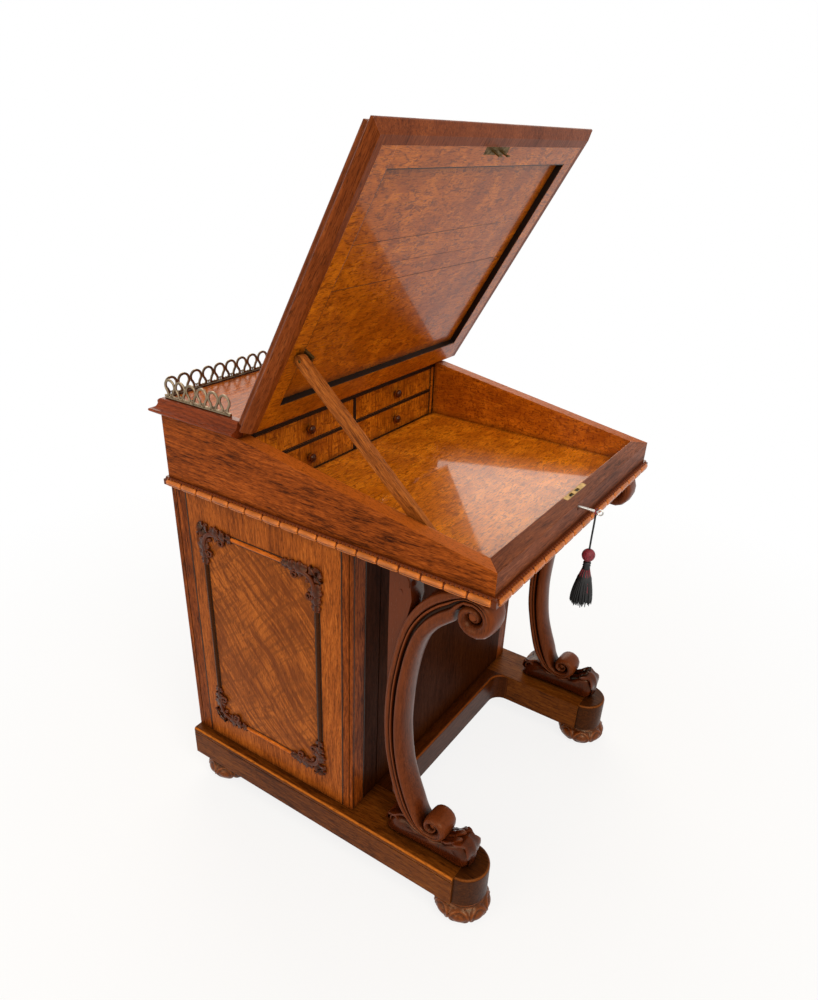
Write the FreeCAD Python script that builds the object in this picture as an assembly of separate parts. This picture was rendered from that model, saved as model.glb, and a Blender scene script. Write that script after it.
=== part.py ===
"""Davenport desk: a writing box with a hinged slope over a pedestal of drawers.

Millimetres.  +X is the writer's right, +Y runs to the back and +Z is up.  The origin is
at the centre of the footprint on the floor.  Shapes are drawn in desk coordinates, where
y = 0 is the front face of the writing box, and are moved to the origin when written out.
The desk is drawn at rest with its lid propped open.
"""
import FreeCAD, Part
import math
import os

V = FreeCAD.Vector

# ---- heights, from the floor up ----
FOOT_H = 46.0            # bun feet
PLINTH_H = 62.5          # base platform and runners
PEDESTAL_H = 524.5       # pedestal of drawers
MOULD_H = 14.0           # carved moulding round the foot of the writing box
FRONT_RISE = 34.5        # front of the writing box above the moulding
REAR_RISE = 105.0        # rear of the writing box above the moulding
DECK_T = 28.0            # rear deck board and its cornice
GALLERY_H = 33.0         # pierced gallery on the deck

# ---- writing box ----
BOX_W = 580.0
BOX_D = 610.0
BOX_WALL = 23.0
DECK_D = 172.0           # rear deck, from the box's back face to the lid's hinge line
MOULD_OUT = 10.0         # carved moulding, proud of the box
EDGE_OUT = 13.5          # nose of the cornice and lid edge, proud of the box
EDGE_IN = 12.0           # depth of the edge strip behind the box face
NOSE_LOW = 7.6           # rounded nose of the cornice and lid edge, above its underside
NOSE_HIGH = 12.0
NOSE_ROUND = 1.0
EDGE_BEAD_H = 6.5        # bead along the top of the cornice and lid edge
EDGE_BEAD_OUT = 2.0
EDGE_BEAD_IN = 3.0

# ---- base ----
BASE_OUT = 16.0          # base, proud of the box's sides
RUNNER_W = 93.0
RUNNER_FRONT_Y = 11.7    # front end of the straight runner
PLATFORM_FRONT_Y = 204.0
PLATFORM_CORNER_R = 28.0
TOE_INSET = 5.0          # toe set in from the runner's sides
TOE_REACH = 39.7         # toe, forward of the runner's end
BASE_ROUND = 5.0         # rounded top edges of the base
FOOT_R = 49.0
FOOT_NECK_R = 35.0
FOOT_BASE_R = 29.0
FOOT_SIDE_IN = 44.0      # foot's centre, in from the base's side
FOOT_FRONT_Y = 11.0
FOOT_REAR_IN = 55.0      # rear foot's centre, in from the box's back face
FOOT_LIP = 2.0           # rounded lip over the foot's neck
SPIGOT_R = 12.0          # turned dowel on top of each foot
SPIGOT_L = 26.0

# ---- pedestal ----
PED_INSET = 2.5          # pedestal, set in from the box's sides
PED_FRONT_Y = 229.4
BOARD_T = 20.0           # pedestal boards and posts
FRONT_POST_W = 31.5
BACK_POST_W = 25.0
BACK_POST_D = 33.0
PED_TOP_T = 18.0
GROOVE_W = 2.0
GROOVE_DEEP = 2.5
CORNER_BEAD = 5.0        # bead on the pedestal's front corners
STILE_W = 40.0           # sunk line on the kneehole panel, from the post
BEAD_FRAME_FRONT_Y = 298.0
BEAD_FRAME_REAR_IN = 67.0  # rear bar, in from the box's back face
BEAD_FRAME_LOW = 58.0    # above the platform
BEAD_FRAME_HIGH = 63.0   # below the box
BEAD_W = 8.0
BEAD_PROUD = 4.0
CARVING_ARM = 66.0
CARVING_W = 20.0
CARVING_PROUD = 6.0
CARVING_TIP_W = 5.0

# ---- side drawers, bottom first ----
SIDE_DRAWER_SHARES = (249, 228, 208, 192)  # parts of the height that the drawers share
BLADE_H = 16.0           # rails between the side drawers
FRAME_LOW_H = 20.0       # rail under the bottom drawer
FRAME_STILE_W = 14.0
SIDE_DRAWER_ROOM = 71.0  # left free behind each side drawer
DRAWER_WALL = 10.0
DRAWER_BOTTOM = 6.0
DRAWER_LOW_BACK = 12.0   # drawer sides and backs stand lower than the front
RUNNER_BEARING = 20.0    # how far each runner reaches under a drawer
SIDE_KNOB_R = 15.0
SIDE_KNOB_OUT = 17.0
SIDE_KNOB_SPREAD = 150.0
FRONT_GAP = 0.8          # gap round every drawer front
RUN_GAP = 0.4            # drawer over its runner

# ---- scroll supports ----
SUPPORT_IN = 4.0         # outer face, in from the box's side
SUPPORT_T = 46.0
SUPPORT_REACH = 170.0    # deepest point of the support's back, from the box front
SUPPORT_HEAD_R = 34.0
SUPPORT_HEAD_Y = 34.0
SUPPORT_HEAD_DROP = 39.0  # centre of the head below the box
SUPPORT_BALL_R = 27.5
SUPPORT_BALL_Y = 70.5
SUPPORT_BALL_RISE = 56.5  # centre of the lower roll above the base
SUPPORT_NECK_IN = 5.0     # upright board behind the head, in from the support's sides

# ---- bank of small drawers in the writing box ----
BANK_SET_BACK = 7.0      # drawer fronts behind the lid's hinge line
CHEEK_T = 15.0
SHELF_T = 3.0
BANK_TOP_T = 7.5
DIVIDER_T = 4.0
LOWER_ROW_H = 50.0
SMALL_WALL = 5.0
SMALL_BOTTOM = 4.0
SMALL_FRONT_T = 8.0
SMALL_ROOM = 14.0        # left free behind each small drawer
SMALL_KNOB_R = 7.0
SMALL_KNOB_OUT = 13.0

# ---- lid ----
LID_OPEN_DEG = 69.4
LID_GAP = 0.6            # between the lid's end and the deck
LID_STILE_W = 41.0       # from the box's side to the sunk panel
LID_RAIL_W = 39.5        # from the lid's front end to the sunk panel
RECESS_REAR_T = 41.7     # sunk panel, measured along the lid from its hinge end
RECESS_DEEP = 10.0
RABBET = 8.0
PANEL_JOINT_T = 231.0
PANEL_JOINT_GAP = 0.4
PANEL_FIT = 0.2
LEATHER_T = 1.6
LEATHER_SUNK = 0.3

# ---- lid hinges ----
HINGE_SIDE_IN = 125.0    # hinge's middle, in from the box's side
HINGE_L = 56.0
LEAF_W = 20.0
LEAF_T = 1.2
KNUCKLE_R = 3.0
KNUCKLES = 5
KNUCKLE_GAP = 0.3
HINGE_PIN_R = 1.4
PIN_FIT = 0.05

# ---- lid prop ----
PROP_L = 292.0           # pin centre to foot centre
PROP_W = 18.0
PROP_T = 10.0
PROP_WALL_GAP = 1.0      # prop's face to the box side
PROP_DEG = 101.86        # prop's angle from the lid when open
PROP_PIN_T = 138.0       # pin along the lid when open
PROP_PIN_CLEAR = 0.3     # prop's rounded end under the lid
PROP_PIN_R = 2.4
SHOE_L = 14.0
SHOE_T = 5.6
SHOE_CLEAR = 0.3
SHOE_BELOW = 6.0         # shoe below the pin's centre

# ---- lock, key and tassel ----
LOCK_X0 = -38.0
LOCK_X1 = 36.0
LOCK_PLATE_Y0 = 14.5
LOCK_PLATE_W = 8.2
LOCK_PLATE_T = 2.0
LOCK_DEEP = 10.5
LOCK_H = 24.0
LOCK_WALL = 1.2
LOCK_FIT = 0.1
HOOK_XS = (-16.0, 7.0)
HOOK_W = 9.0
HOOK_T = 1.6
HOOK_Y = 17.6            # hook's plane where it leaves the closed lid
HOOK_L = 13.0
HOOK_EYE_TOP = 4.5
HOOK_EYE_H = 5.0
HOOK_EYE_DEEP = 5.0
HOOK_SLOT_W = 12.5
HOOK_SLOT_Y0 = 15.6
HOOK_SLOT_Y1 = 20.8
LINK_PLATE_X0 = -40.0
LINK_PLATE_X1 = 27.0
LINK_PLATE_W = 11.0
LINK_PLATE_T = 2.0
KEY_X = -29.0
KEY_DOWN = 6.5           # key's axis below the front edge of the box
KEY_R = 2.0
KEYHOLE_R = 2.6
BIT_R = 5.0
BIT_W = 1.8
BOLT_T = 2.0
BOLT_PLANE_Y = 14.2
BOLT_TRAVEL = 5.0
BOLT_H = 8.9
BOLT_UNDER_KEY = 2.6     # bolt's top edge below the key's axis
TALON_HALF = 2.2
TALON_DEEP = 4.4
FINGER_GAP = 0.8
FINGER_L = 4.0
FINGER_H = 3.6
FINGER_BELOW_EYE = 0.7
POST_W = 3.0
BOW_Y = -35.0
BOW_R = 4.2
BOW_WIRE_R = 1.1
LOOP_Y = -28.5
LOOP_WIRE_R = 1.3
LOOP_FIT = 0.3
CORD_D = 3.0
BEAD_R = 10.5
KNOT_R = 6.5
KNOT_H = 14.0
SKIRT_R = 19.5
SKIRT_H = 64.0

# ---- gallery ----
GALLERY_T = 3.0
GALLERY_INSET = 6.0      # from the box's back and side faces to the outside of the gallery
GALLERY_SET_BACK = 22.0  # front ends behind the lid's hinge line
GALLERY_PITCH = 25.7
ARCH_R = 12.8
ARCH_HOLE_R = 8.2
ARCH_SLOT_W = 8.0
GALLERY_RAIL_H = 5.0

# ---- levels and lines that follow ----
Z_PLINTH = FOOT_H
Z_PED = Z_PLINTH + PLINTH_H
Z_BOX = Z_PED + PEDESTAL_H
Z_FLOOR = Z_BOX + MOULD_H
Z_FRONT = Z_FLOOR + FRONT_RISE
Z_REAR = Z_FLOOR + REAR_RISE
Z_DECK = Z_REAR + DECK_T
HALF_BOX = BOX_W / 2
HALF_INNER = HALF_BOX - BOX_WALL
HALF_BASE = HALF_BOX + BASE_OUT
HALF_PED = HALF_BOX - PED_INSET
INNER_BACK_Y = BOX_D - BOX_WALL
HINGE_Y = BOX_D - DECK_D
HINGE_X = HALF_BOX - HINGE_SIDE_IN
SUPPORT_X = HALF_BOX - SUPPORT_IN
FOOT_X = HALF_BASE - FOOT_SIDE_IN
FOOT_REAR_Y = BOX_D - FOOT_REAR_IN
BEAD_FRAME_REAR_Y = BOX_D - BEAD_FRAME_REAR_IN
SIDE_DRAWER_DEEP = 2 * (HALF_PED - BOARD_T) - SIDE_DRAWER_ROOM
BANK_FRONT_Y = HINGE_Y + BANK_SET_BACK
SMALL_DEEP = INNER_BACK_Y - BANK_FRONT_Y - SMALL_ROOM
GALLERY_FRONT_Y = HINGE_Y + GALLERY_SET_BACK
SLOPE = math.atan2(Z_REAR - Z_FRONT, HINGE_Y)
SLOPE_DEG = math.degrees(SLOPE)
LID_T = DECK_T * math.cos(SLOPE)
LID_FRONT_T = DECK_T * math.sin(SLOPE) + HINGE_Y / math.cos(SLOPE)
RECESS_X = HALF_BOX - LID_STILE_W
RECESS_FRONT_T = LID_FRONT_T - LID_RAIL_W
PANEL_BACK = BOX_D - BACK_POST_D
Z_KEY = Z_FRONT - KEY_DOWN
FRONT_END_Y = min(BOW_Y - BOW_R - BOW_WIRE_R, FOOT_FRONT_Y - FOOT_R, RUNNER_FRONT_Y - TOE_REACH)
Y_MID = (FRONT_END_Y + BOX_D + EDGE_OUT) / 2

NODES = {}


# ---- shape helpers ----
def block(x0, x1, y0, y1, z0, z1):
    return Part.makeBox(x1 - x0, y1 - y0, z1 - z0, V(x0, y0, z0))


def mirror_x(shape):
    return shape.mirror(V(0, 0, 0), V(1, 0, 0))


def rod(r, start, end):
    way = end - start
    return Part.makeCylinder(r, way.Length, start, way)


def face_of(edges):
    return Part.Face(Part.Wire(edges))


def line(a, b):
    return Part.LineSegment(a, b).toShape()


def arc(a, m, b):
    return Part.Arc(a, m, b).toShape()


def outline(points, place):
    """Closed face from points; three-point arcs are given as ('arc', middle, end)."""
    edges = []
    here = place(*points[0])
    for point in points[1:]:
        if point[0] == "arc":
            end = place(*point[2])
            edges.append(arc(here, place(*point[1]), end))
        else:
            end = place(*point)
            edges.append(line(here, end))
        here = end
    if here.distanceToPoint(edges[0].Vertexes[0].Point) > 1e-6:
        edges.append(line(here, place(*points[0])))
    return face_of(edges)


def plan_prism(points, z0, z1):
    face = outline(points, lambda x, y: V(x, y, z0))
    return face.extrude(V(0, 0, z1 - z0))


def side_prism(points, x0, x1):
    face = outline(points, lambda y, z: V(x0, y, z))
    return face.extrude(V(x1 - x0, 0, 0))


def turned(points, centre, axis=V(0, 0, 1)):
    """Solid of revolution; points are (radius, height) with arcs as in outline."""
    face = outline(points, lambda r, h: V(r, 0, h))
    solid = face.revolve(V(0, 0, 0), V(0, 0, 1), 360)
    solid.rotate(V(0, 0, 0), V(0, 1, 0), 90 if axis.x else 0)
    solid.rotate(V(0, 0, 0), V(1, 0, 0), 90 if axis.y else 0)
    solid.translate(centre)
    return solid


def fused(shapes):
    whole = shapes[0]
    for shape in shapes[1:]:
        whole = whole.fuse(shape)
    return whole.removeSplitter()


def keep(node, *solids):
    NODES[node] = [solid for shape in solids for solid in shape.Solids]


def lid_closed(shape):
    """From lid coordinates (x, -distance from the hinge, -depth under the top) to the desk."""
    placed = shape.copy()
    placed.rotate(V(0, 0, 0), V(1, 0, 0), SLOPE_DEG)
    placed.translate(V(0, HINGE_Y, Z_DECK))
    return placed


def lid_open(shape):
    placed = shape.copy()
    placed.rotate(V(0, 0, 0), V(1, 0, 0), SLOPE_DEG - LID_OPEN_DEG)
    placed.translate(V(0, HINGE_Y, Z_DECK))
    return placed


def lid_point(x, along, depth):
    spin = math.radians(SLOPE_DEG - LID_OPEN_DEG)
    y = HINGE_Y - along * math.cos(spin) + depth * math.sin(spin)
    z = Z_DECK - along * math.sin(spin) - depth * math.cos(spin)
    return V(x, y, z)


def lid_block(x0, x1, t0, t1, d0, d1):
    return block(x0, x1, -t1, -t0, -d1, -d0)


# ---- base ----
def bulge_middle(widest, end):
    """Middle of the arc that is upright at its widest point and passes through its end."""
    inset = widest[0] - end[0]
    rise = end[1] - widest[1]
    radius = (inset ** 2 + rise ** 2) / (2 * inset)
    half_turn = math.atan2(rise, end[0] - widest[0] + radius) / 2
    middle_r = widest[0] - radius + radius * math.cos(half_turn)
    return (middle_r, widest[1] + radius * math.sin(half_turn))


def make_foot(node, x, y):
    widest = (FOOT_R, FOOT_H * 0.46)
    base = (FOOT_BASE_R, 0)
    lip = FOOT_NECK_R + FOOT_LIP
    neck = (lip, FOOT_H * 0.82)
    ball = turned(
        [
            (0, 0),
            base,
            ("arc", bulge_middle(widest, base), widest),
            ("arc", bulge_middle(widest, neck), neck),
            ("arc", (FOOT_NECK_R, FOOT_H * 0.88), (lip, FOOT_H * 0.94)),
            (lip, FOOT_H),
            (0, FOOT_H),
        ],
        V(x, y, 0),
    )
    spigot = rod(SPIGOT_R, V(x, y, FOOT_H - 1), V(x, y, FOOT_H + SPIGOT_L))
    keep(node, fused([ball, spigot]))


def foot_sockets():
    holes = []
    for x in (-FOOT_X, FOOT_X):
        for y in (FOOT_FRONT_Y, FOOT_REAR_Y):
            top = V(x, y, FOOT_H + SPIGOT_L + 1)
            holes.append(rod(SPIGOT_R + PIN_FIT, V(x, y, FOOT_H), top))
    return Part.makeCompound(holes)


def round_top_edges(solid, picks):
    """Round the edges on the base's top face whose middle satisfies one of the tests."""
    edges = []
    for edge in solid.Edges:
        mid = edge.valueAt((edge.FirstParameter + edge.LastParameter) / 2)
        flat = all(abs(v.Point.z - Z_PED) < 1e-6 for v in edge.Vertexes)
        if flat and abs(mid.z - Z_PED) < 1e-6 and any(pick(mid) for pick in picks):
            edges.append(edge)
    return solid.makeFillet(BASE_ROUND, edges)


def make_base():
    inner = HALF_BASE - RUNNER_W
    cx = inner - PLATFORM_CORNER_R
    cy = PLATFORM_FRONT_Y - PLATFORM_CORNER_R
    platform = block(-inner, inner, PLATFORM_FRONT_Y, BOX_D, Z_PLINTH, Z_PED)
    corner = block(cx, inner, cy, PLATFORM_FRONT_Y, Z_PLINTH, Z_PED)
    hollow = rod(PLATFORM_CORNER_R, V(cx, cy, Z_PLINTH - 1), V(cx, cy, Z_PED + 1))
    corner = corner.cut(hollow)
    platform = fused([platform, corner, mirror_x(corner)])
    lip = PLATFORM_CORNER_R / 2
    front = [lambda p: p.y < PLATFORM_FRONT_Y + 1 and abs(p.x) < inner - lip / 4]
    keep("base_platform", round_top_edges(platform, front))

    runner = block(inner, HALF_BASE, RUNNER_FRONT_Y, BOX_D, Z_PLINTH, Z_PED)
    runner = round_top_edges(runner, [lambda p: p.x > HALF_BASE - 1])
    line_z = Z_PED - 2.2 * BASE_ROUND
    line_x = HALF_BASE - GROOVE_DEEP / 2
    sunk = block(line_x, HALF_BASE + 1, RUNNER_FRONT_Y - 1, BOX_D + 1, line_z, line_z + GROOVE_W)
    runner = runner.cut(sunk)
    sockets = foot_sockets()
    keep("runner_right", runner.cut(sockets))
    keep("runner_left", mirror_x(runner).cut(sockets))

    x0 = inner + TOE_INSET
    x1 = HALF_BASE - TOE_INSET
    tip = ((x0 + x1) / 2, RUNNER_FRONT_Y - TOE_REACH)
    toe = plan_prism([(x0, RUNNER_FRONT_Y), ("arc", tip, (x1, RUNNER_FRONT_Y))], Z_PLINTH, Z_PED)
    toe = round_top_edges(toe, [lambda p: p.y < RUNNER_FRONT_Y - 1])
    keep("runner_toes", toe.cut(sockets), mirror_x(toe).cut(sockets))

    for side, x in (("left", -FOOT_X), ("right", FOOT_X)):
        make_foot("foot_front_" + side, x, FOOT_FRONT_Y)
        make_foot("foot_rear_" + side, x, FOOT_REAR_Y)


# ---- pedestal ----
def make_pedestal_carcase():
    post_y1 = PED_FRONT_Y + BOARD_T
    front_post = block(HALF_PED - FRONT_POST_W, HALF_PED, PED_FRONT_Y, post_y1, Z_PED, Z_BOX)
    bead_x = HALF_PED - CORNER_BEAD
    bead_y = PED_FRONT_Y + CORNER_BEAD
    deep_y = PED_FRONT_Y + GROOVE_DEEP
    cuts = [
        block(bead_x - GROOVE_W, bead_x, PED_FRONT_Y - 1, deep_y, Z_PED - 1, Z_BOX + 1),
        block(HALF_PED - GROOVE_DEEP, HALF_PED + 1, bead_y, bead_y + GROOVE_W, Z_PED - 1, Z_BOX + 1),
    ]
    front_post = front_post.cut(Part.makeCompound(cuts))
    back_post = block(HALF_PED - BACK_POST_W, HALF_PED, PANEL_BACK, BOX_D, Z_PED, Z_BOX)
    cuts = []
    for y in (PANEL_BACK, BOX_D - BACK_POST_D / 3):
        cuts.append(block(HALF_PED - GROOVE_DEEP, HALF_PED + 1, y, y + GROOVE_W, Z_PED - 1, Z_BOX + 1))
    back_post = back_post.cut(Part.makeCompound(cuts))
    keep("pedestal_posts", front_post, back_post, mirror_x(front_post), mirror_x(back_post))

    left = block(-HALF_PED, -HALF_PED + BOARD_T, post_y1, PANEL_BACK, Z_PED, Z_BOX)
    keep("pedestal_left_side", left)
    half = HALF_PED - FRONT_POST_W
    panel = block(-half, half, PED_FRONT_Y, post_y1, Z_PED, Z_BOX)
    for x in (-half + STILE_W, half - STILE_W - GROOVE_W):
        panel = panel.cut(block(x, x + GROOVE_W, PED_FRONT_Y - 1, deep_y, Z_PED - 1, Z_BOX + 1))
    keep("kneehole_panel", panel)
    half = HALF_PED - BACK_POST_W
    keep("pedestal_back", block(-half, half, BOX_D - BOARD_T, BOX_D, Z_PED, Z_BOX))
    inner = HALF_PED - BOARD_T
    top_z = Z_BOX - PED_TOP_T
    top = block(-inner, inner, post_y1, PANEL_BACK, top_z, Z_BOX)
    tail = block(-half, half, PANEL_BACK - 1, BOX_D - BOARD_T, top_z, Z_BOX)
    keep("pedestal_top", fused([top, tail]))


def side_drawer_levels():
    levels = []
    z = Z_PED + FRAME_LOW_H
    blades = (len(SIDE_DRAWER_SHARES) - 1) * BLADE_H
    room = PEDESTAL_H - FRAME_LOW_H - blades - PED_TOP_T
    for share in SIDE_DRAWER_SHARES:
        height = room * share / sum(SIDE_DRAWER_SHARES)
        levels.append((z, z + height))
        z += height + BLADE_H
    return levels


def make_side_drawers():
    y0 = PED_FRONT_Y + BOARD_T
    open_y0 = y0 + FRAME_STILE_W
    open_y1 = PANEL_BACK - FRAME_STILE_W
    inner = HALF_PED - BOARD_T
    frame = block(inner, HALF_PED, y0, PANEL_BACK, Z_PED, Z_BOX)
    runners = []
    for number, (z0, z1) in enumerate(side_drawer_levels(), 1):
        frame = frame.cut(block(inner - 1, HALF_PED + 1, open_y0, open_y1, z0, z1))
        low = z0 - (FRAME_LOW_H if number == 1 else BLADE_H)
        left_end = -inner + BOARD_T
        runners.append(block(left_end, inner, y0, open_y0 + RUNNER_BEARING, low, z0))
        runners.append(block(left_end, inner, open_y1 - RUNNER_BEARING, BOX_D - BOARD_T, low, z0))
        make_side_drawer(number, open_y0, open_y1, z0, z1)
    keep("drawer_frame", frame)
    posts = [block(HALF_PED - BACK_POST_W, HALF_PED, PANEL_BACK, BOX_D, Z_PED, Z_BOX)]
    posts.append(mirror_x(posts[0]))
    keep("drawer_runners", *[runner.cut(Part.makeCompound(posts)) for runner in runners])


def make_side_drawer(number, open_y0, open_y1, z0, z1):
    joint_x = HALF_PED - BOARD_T + FRONT_GAP
    y0 = open_y0 + FRONT_GAP
    y1 = open_y1 - FRONT_GAP
    low = z0 + RUN_GAP
    back_x = joint_x - SIDE_DRAWER_DEEP
    tray = block(back_x, joint_x, y0, y1, low, z1 - DRAWER_LOW_BACK)
    inside = block(
        back_x + DRAWER_WALL, joint_x - DRAWER_WALL, y0 + DRAWER_WALL, y1 - DRAWER_WALL,
        low + DRAWER_BOTTOM, z1)
    keep("side_drawer_box_%d" % number, tray.cut(inside))
    front = block(joint_x, HALF_PED, y0, y1, low, z1 - FRONT_GAP)
    r = SIDE_KNOB_R
    out = SIDE_KNOB_OUT
    knobs = []
    for side in (-1, 1):
        centre = V(HALF_PED, (y0 + y1 + side * SIDE_KNOB_SPREAD) / 2, (low + z1) / 2)
        knobs.append(turned(
            [
                (0, 0),
                (r * 0.55, 0),
                ("arc", (r * 0.42, out * 0.2), (r * 0.6, out * 0.4)),
                ("arc", (r, out * 0.62), (r * 0.75, out * 0.88)),
                ("arc", (r * 0.5, out * 0.97), (r * 0.2, out)),
                (0, out),
            ],
            centre, V(1, 0, 0)))
    keep("side_drawer_front_%d" % number, front, *knobs)


def make_bead_frame():
    face_x = -HALF_PED
    y0 = BEAD_FRAME_FRONT_Y
    y1 = BEAD_FRAME_REAR_Y
    z0 = Z_PED + BEAD_FRAME_LOW
    z1 = Z_BOX - BEAD_FRAME_HIGH
    gap = CARVING_ARM
    half = block(face_x - BEAD_PROUD, face_x, -BOX_D, 2 * BOX_D, -Z_BOX, 2 * Z_BOX)
    bars = []
    for y in (y0, y1):
        bars.append(rod(BEAD_W / 2, V(face_x, y, z0 + gap), V(face_x, y, z1 - gap)).common(half))
    for z in (z0, z1):
        bars.append(rod(BEAD_W / 2, V(face_x, y0 + gap, z), V(face_x, y1 - gap, z)).common(half))
    keep("side_bead_frame", *bars)
    carvings = []
    for y, along in ((y0, 1), (y1, -1)):
        carvings.append(corner_carving(y, along, z0, 1))
        carvings.append(corner_carving(y, along, z1, -1))
    keep("side_corner_carvings", *carvings)


def corner_carving(y, along, z, up):
    """Carved corner of the bead frame: two arms that swell from a rounded corner."""
    arm = CARVING_ARM
    wide = CARVING_W / 2
    swell = wide * 1.1
    crotch = wide * 1.4
    tip = CARVING_TIP_W / 2
    shape = [
        (-wide, -wide),
        ("arc", (arm * 0.4, -swell), (arm, -tip)),
        (arm, tip),
        ("arc", (arm * 0.55, swell), (crotch, crotch)),
        ("arc", (swell, arm * 0.55), (tip, arm)),
        (-tip, arm),
        ("arc", (-swell, arm * 0.4), (-wide, -wide)),
    ]
    face = outline(shape, lambda a, b: V(-HALF_PED - CARVING_PROUD, y + along * a, z + up * b))
    return face.extrude(V(CARVING_PROUD, 0, 0))


# ---- scroll supports ----
def support_point(reach, rise):
    """Point in the support's side view, from shares of its reach and of the pedestal's height."""
    return (SUPPORT_REACH * reach, Z_PED + PEDESTAL_H * rise)


def support_arc(middle, end):
    return ("arc", support_point(*middle), support_point(*end))


def make_supports():
    head = (SUPPORT_HEAD_Y, Z_BOX - SUPPORT_HEAD_DROP)
    roll = (SUPPORT_BALL_Y, Z_PED + SUPPORT_BALL_RISE)
    inner_x = SUPPORT_X - SUPPORT_T
    stem = side_prism(
        [
            support_point(0.434, 1),
            support_arc((0.781, 0.870), (0.930, 0.7007)),
            support_arc((1, 0.5215), (0.980, 0.3695)),
            support_arc((0.895, 0.2312), (0.7935, 0.1268)),
            roll,
            support_point(0.494, 0.142),
            support_arc((0.647, 0.1935), (0.739, 0.286)),
            support_arc((0.794, 0.4395), (0.7694, 0.5968)),
            support_arc((0.691, 0.737), (0.523, 0.8398)),
            support_arc((0.429, 0.8656), (0.3176, 0.8875)),
            head,
            (SUPPORT_HEAD_Y, Z_BOX),
        ],
        inner_x, SUPPORT_X)
    ends = []
    for r, (y, z) in ((SUPPORT_HEAD_R, head), (SUPPORT_BALL_R, roll)):
        ends.append(rod(r, V(inner_x, y, z), V(SUPPORT_X, y, z)))
    neck = side_prism(
        [
            support_point(0.990, 0.5546),
            support_point(1, 0.937),
            support_point(1, 1),
            support_point(0.80, 1),
            support_point(0.77, 0.90),
            support_point(0.88, 0.740),
        ],
        inner_x + SUPPORT_NECK_IN, SUPPORT_X - SUPPORT_NECK_IN)
    front = support_point(0.035, 0)
    foot = side_prism(
        [
            front,
            support_point(0.913, 0),
            support_arc((0.965, 0.0419), (0.827, 0.1201)),
            support_point(0.7935, 0.1268),
            roll,
            support_point(0.22, 0.100),
            support_point(0.10, 0.124),
            ("arc", support_point(-0.02, 0.060), front),
        ],
        inner_x, SUPPORT_X)
    room = block(0, HALF_BASE, -BOX_D, BOX_D, Z_PED, Z_BOX)
    whole = fused([stem, neck] + ends + [foot]).common(room)
    keep("scroll_support_right", whole)
    keep("scroll_support_left", mirror_x(whole))


# ---- writing box ----
def slope_z(y):
    return Z_FRONT + y * math.tan(SLOPE)


def ring_plan(side, inner, outer, front, back):
    """Mitred plan of one strip of a frame; inner and outer are distances from the box faces."""
    x_in = HALF_BOX + inner
    x_out = HALF_BOX + outer
    y_in = front - inner
    y_out = front - outer
    if side == "front":
        return [(-x_out, y_out), (x_out, y_out), (x_in, y_in), (-x_in, y_in)]
    y_in_back = back + inner
    y_out_back = back + outer
    if side == "left":
        return [(-x_out, y_out), (-x_in, y_in), (-x_in, y_in_back), (-x_out, y_out_back)]
    return [(-x_out, y_out_back), (x_out, y_out_back), (x_in, y_in_back), (-x_in, y_in_back)]


def make_writing_box():
    profile = [(0, Z_BOX), (BOX_D, Z_BOX), (BOX_D, Z_REAR), (HINGE_Y, Z_REAR), (0, Z_FRONT)]
    body = side_prism(profile, -HALF_BOX, HALF_BOX)
    high = Z_REAR + 1
    left_plan = [(-HALF_BOX, 0), (-HALF_INNER, BOX_WALL), (-HALF_INNER, BOX_D), (-HALF_BOX, BOX_D)]
    left = body.common(plan_prism(left_plan, Z_BOX, high))
    keep("desk_left_side", left)
    keep("desk_right_side", mirror_x(left))
    front = body.common(plan_prism(ring_plan("front", -BOX_WALL, 0, 0, BOX_D), Z_BOX, high))
    keep("desk_front", front.cut(lock_mortise()))
    keep("desk_back", block(-HALF_INNER, HALF_INNER, INNER_BACK_Y, BOX_D, Z_BOX, Z_REAR))
    keep("well_floor", block(-HALF_INNER, HALF_INNER, BOX_WALL, INNER_BACK_Y, Z_BOX, Z_FLOOR))


def strip(profile, plan, z0, z1, way):
    """A strip whose profile is (proud, height), cut to its mitred plan; way is its side."""
    reach = BOX_D * 2
    if way == "left":
        face = outline(profile, lambda p, h: V(-HALF_BOX - p, -reach, h))
        bar = face.extrude(V(0, 2 * reach, 0))
    elif way == "front":
        face = outline(profile, lambda p, h: V(-reach, -p, h))
        bar = face.extrude(V(2 * reach, 0, 0))
    else:
        face = outline(profile, lambda p, h: V(-reach, BOX_D + p, h))
        bar = face.extrude(V(2 * reach, 0, 0))
    return bar.common(plan_prism(plan, z0, z1))


def make_carved_moulding():
    out = MOULD_OUT
    z = Z_BOX
    profile = [
        (0, z),
        (out * 0.75, z),
        ("arc", (out, z + MOULD_H * 0.4), (out * 0.62, z + MOULD_H * 0.84)),
        (out * 0.55, z + MOULD_H),
        (0, z + MOULD_H),
    ]
    strips = []
    for side in ("left", "front", "back"):
        plan = ring_plan(side, 0, out + 1, 0, BOX_D)
        strips.append(strip(profile, plan, z, Z_FLOOR, side))
    strips.append(mirror_x(strips[0]))
    keep("carved_moulding", *strips)


def edge_profile(z, thick):
    """Moulded edge shared by the deck and the lid: a nose, a cove and a bead."""
    nose = EDGE_OUT - NOSE_ROUND
    top = z + thick
    return [
        (-EDGE_IN, z),
        (0, z),
        (nose, z + NOSE_LOW),
        ("arc", (EDGE_OUT, z + (NOSE_LOW + NOSE_HIGH) / 2), (nose, z + NOSE_HIGH)),
        ("arc", (0.4 * EDGE_OUT, z + 1.23 * NOSE_HIGH), (EDGE_BEAD_OUT, top - EDGE_BEAD_H)),
        ("arc", (0.8 * EDGE_BEAD_OUT, top - 0.37 * EDGE_BEAD_H), (-EDGE_BEAD_IN, top)),
        (-EDGE_IN, top),
    ]


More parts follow.
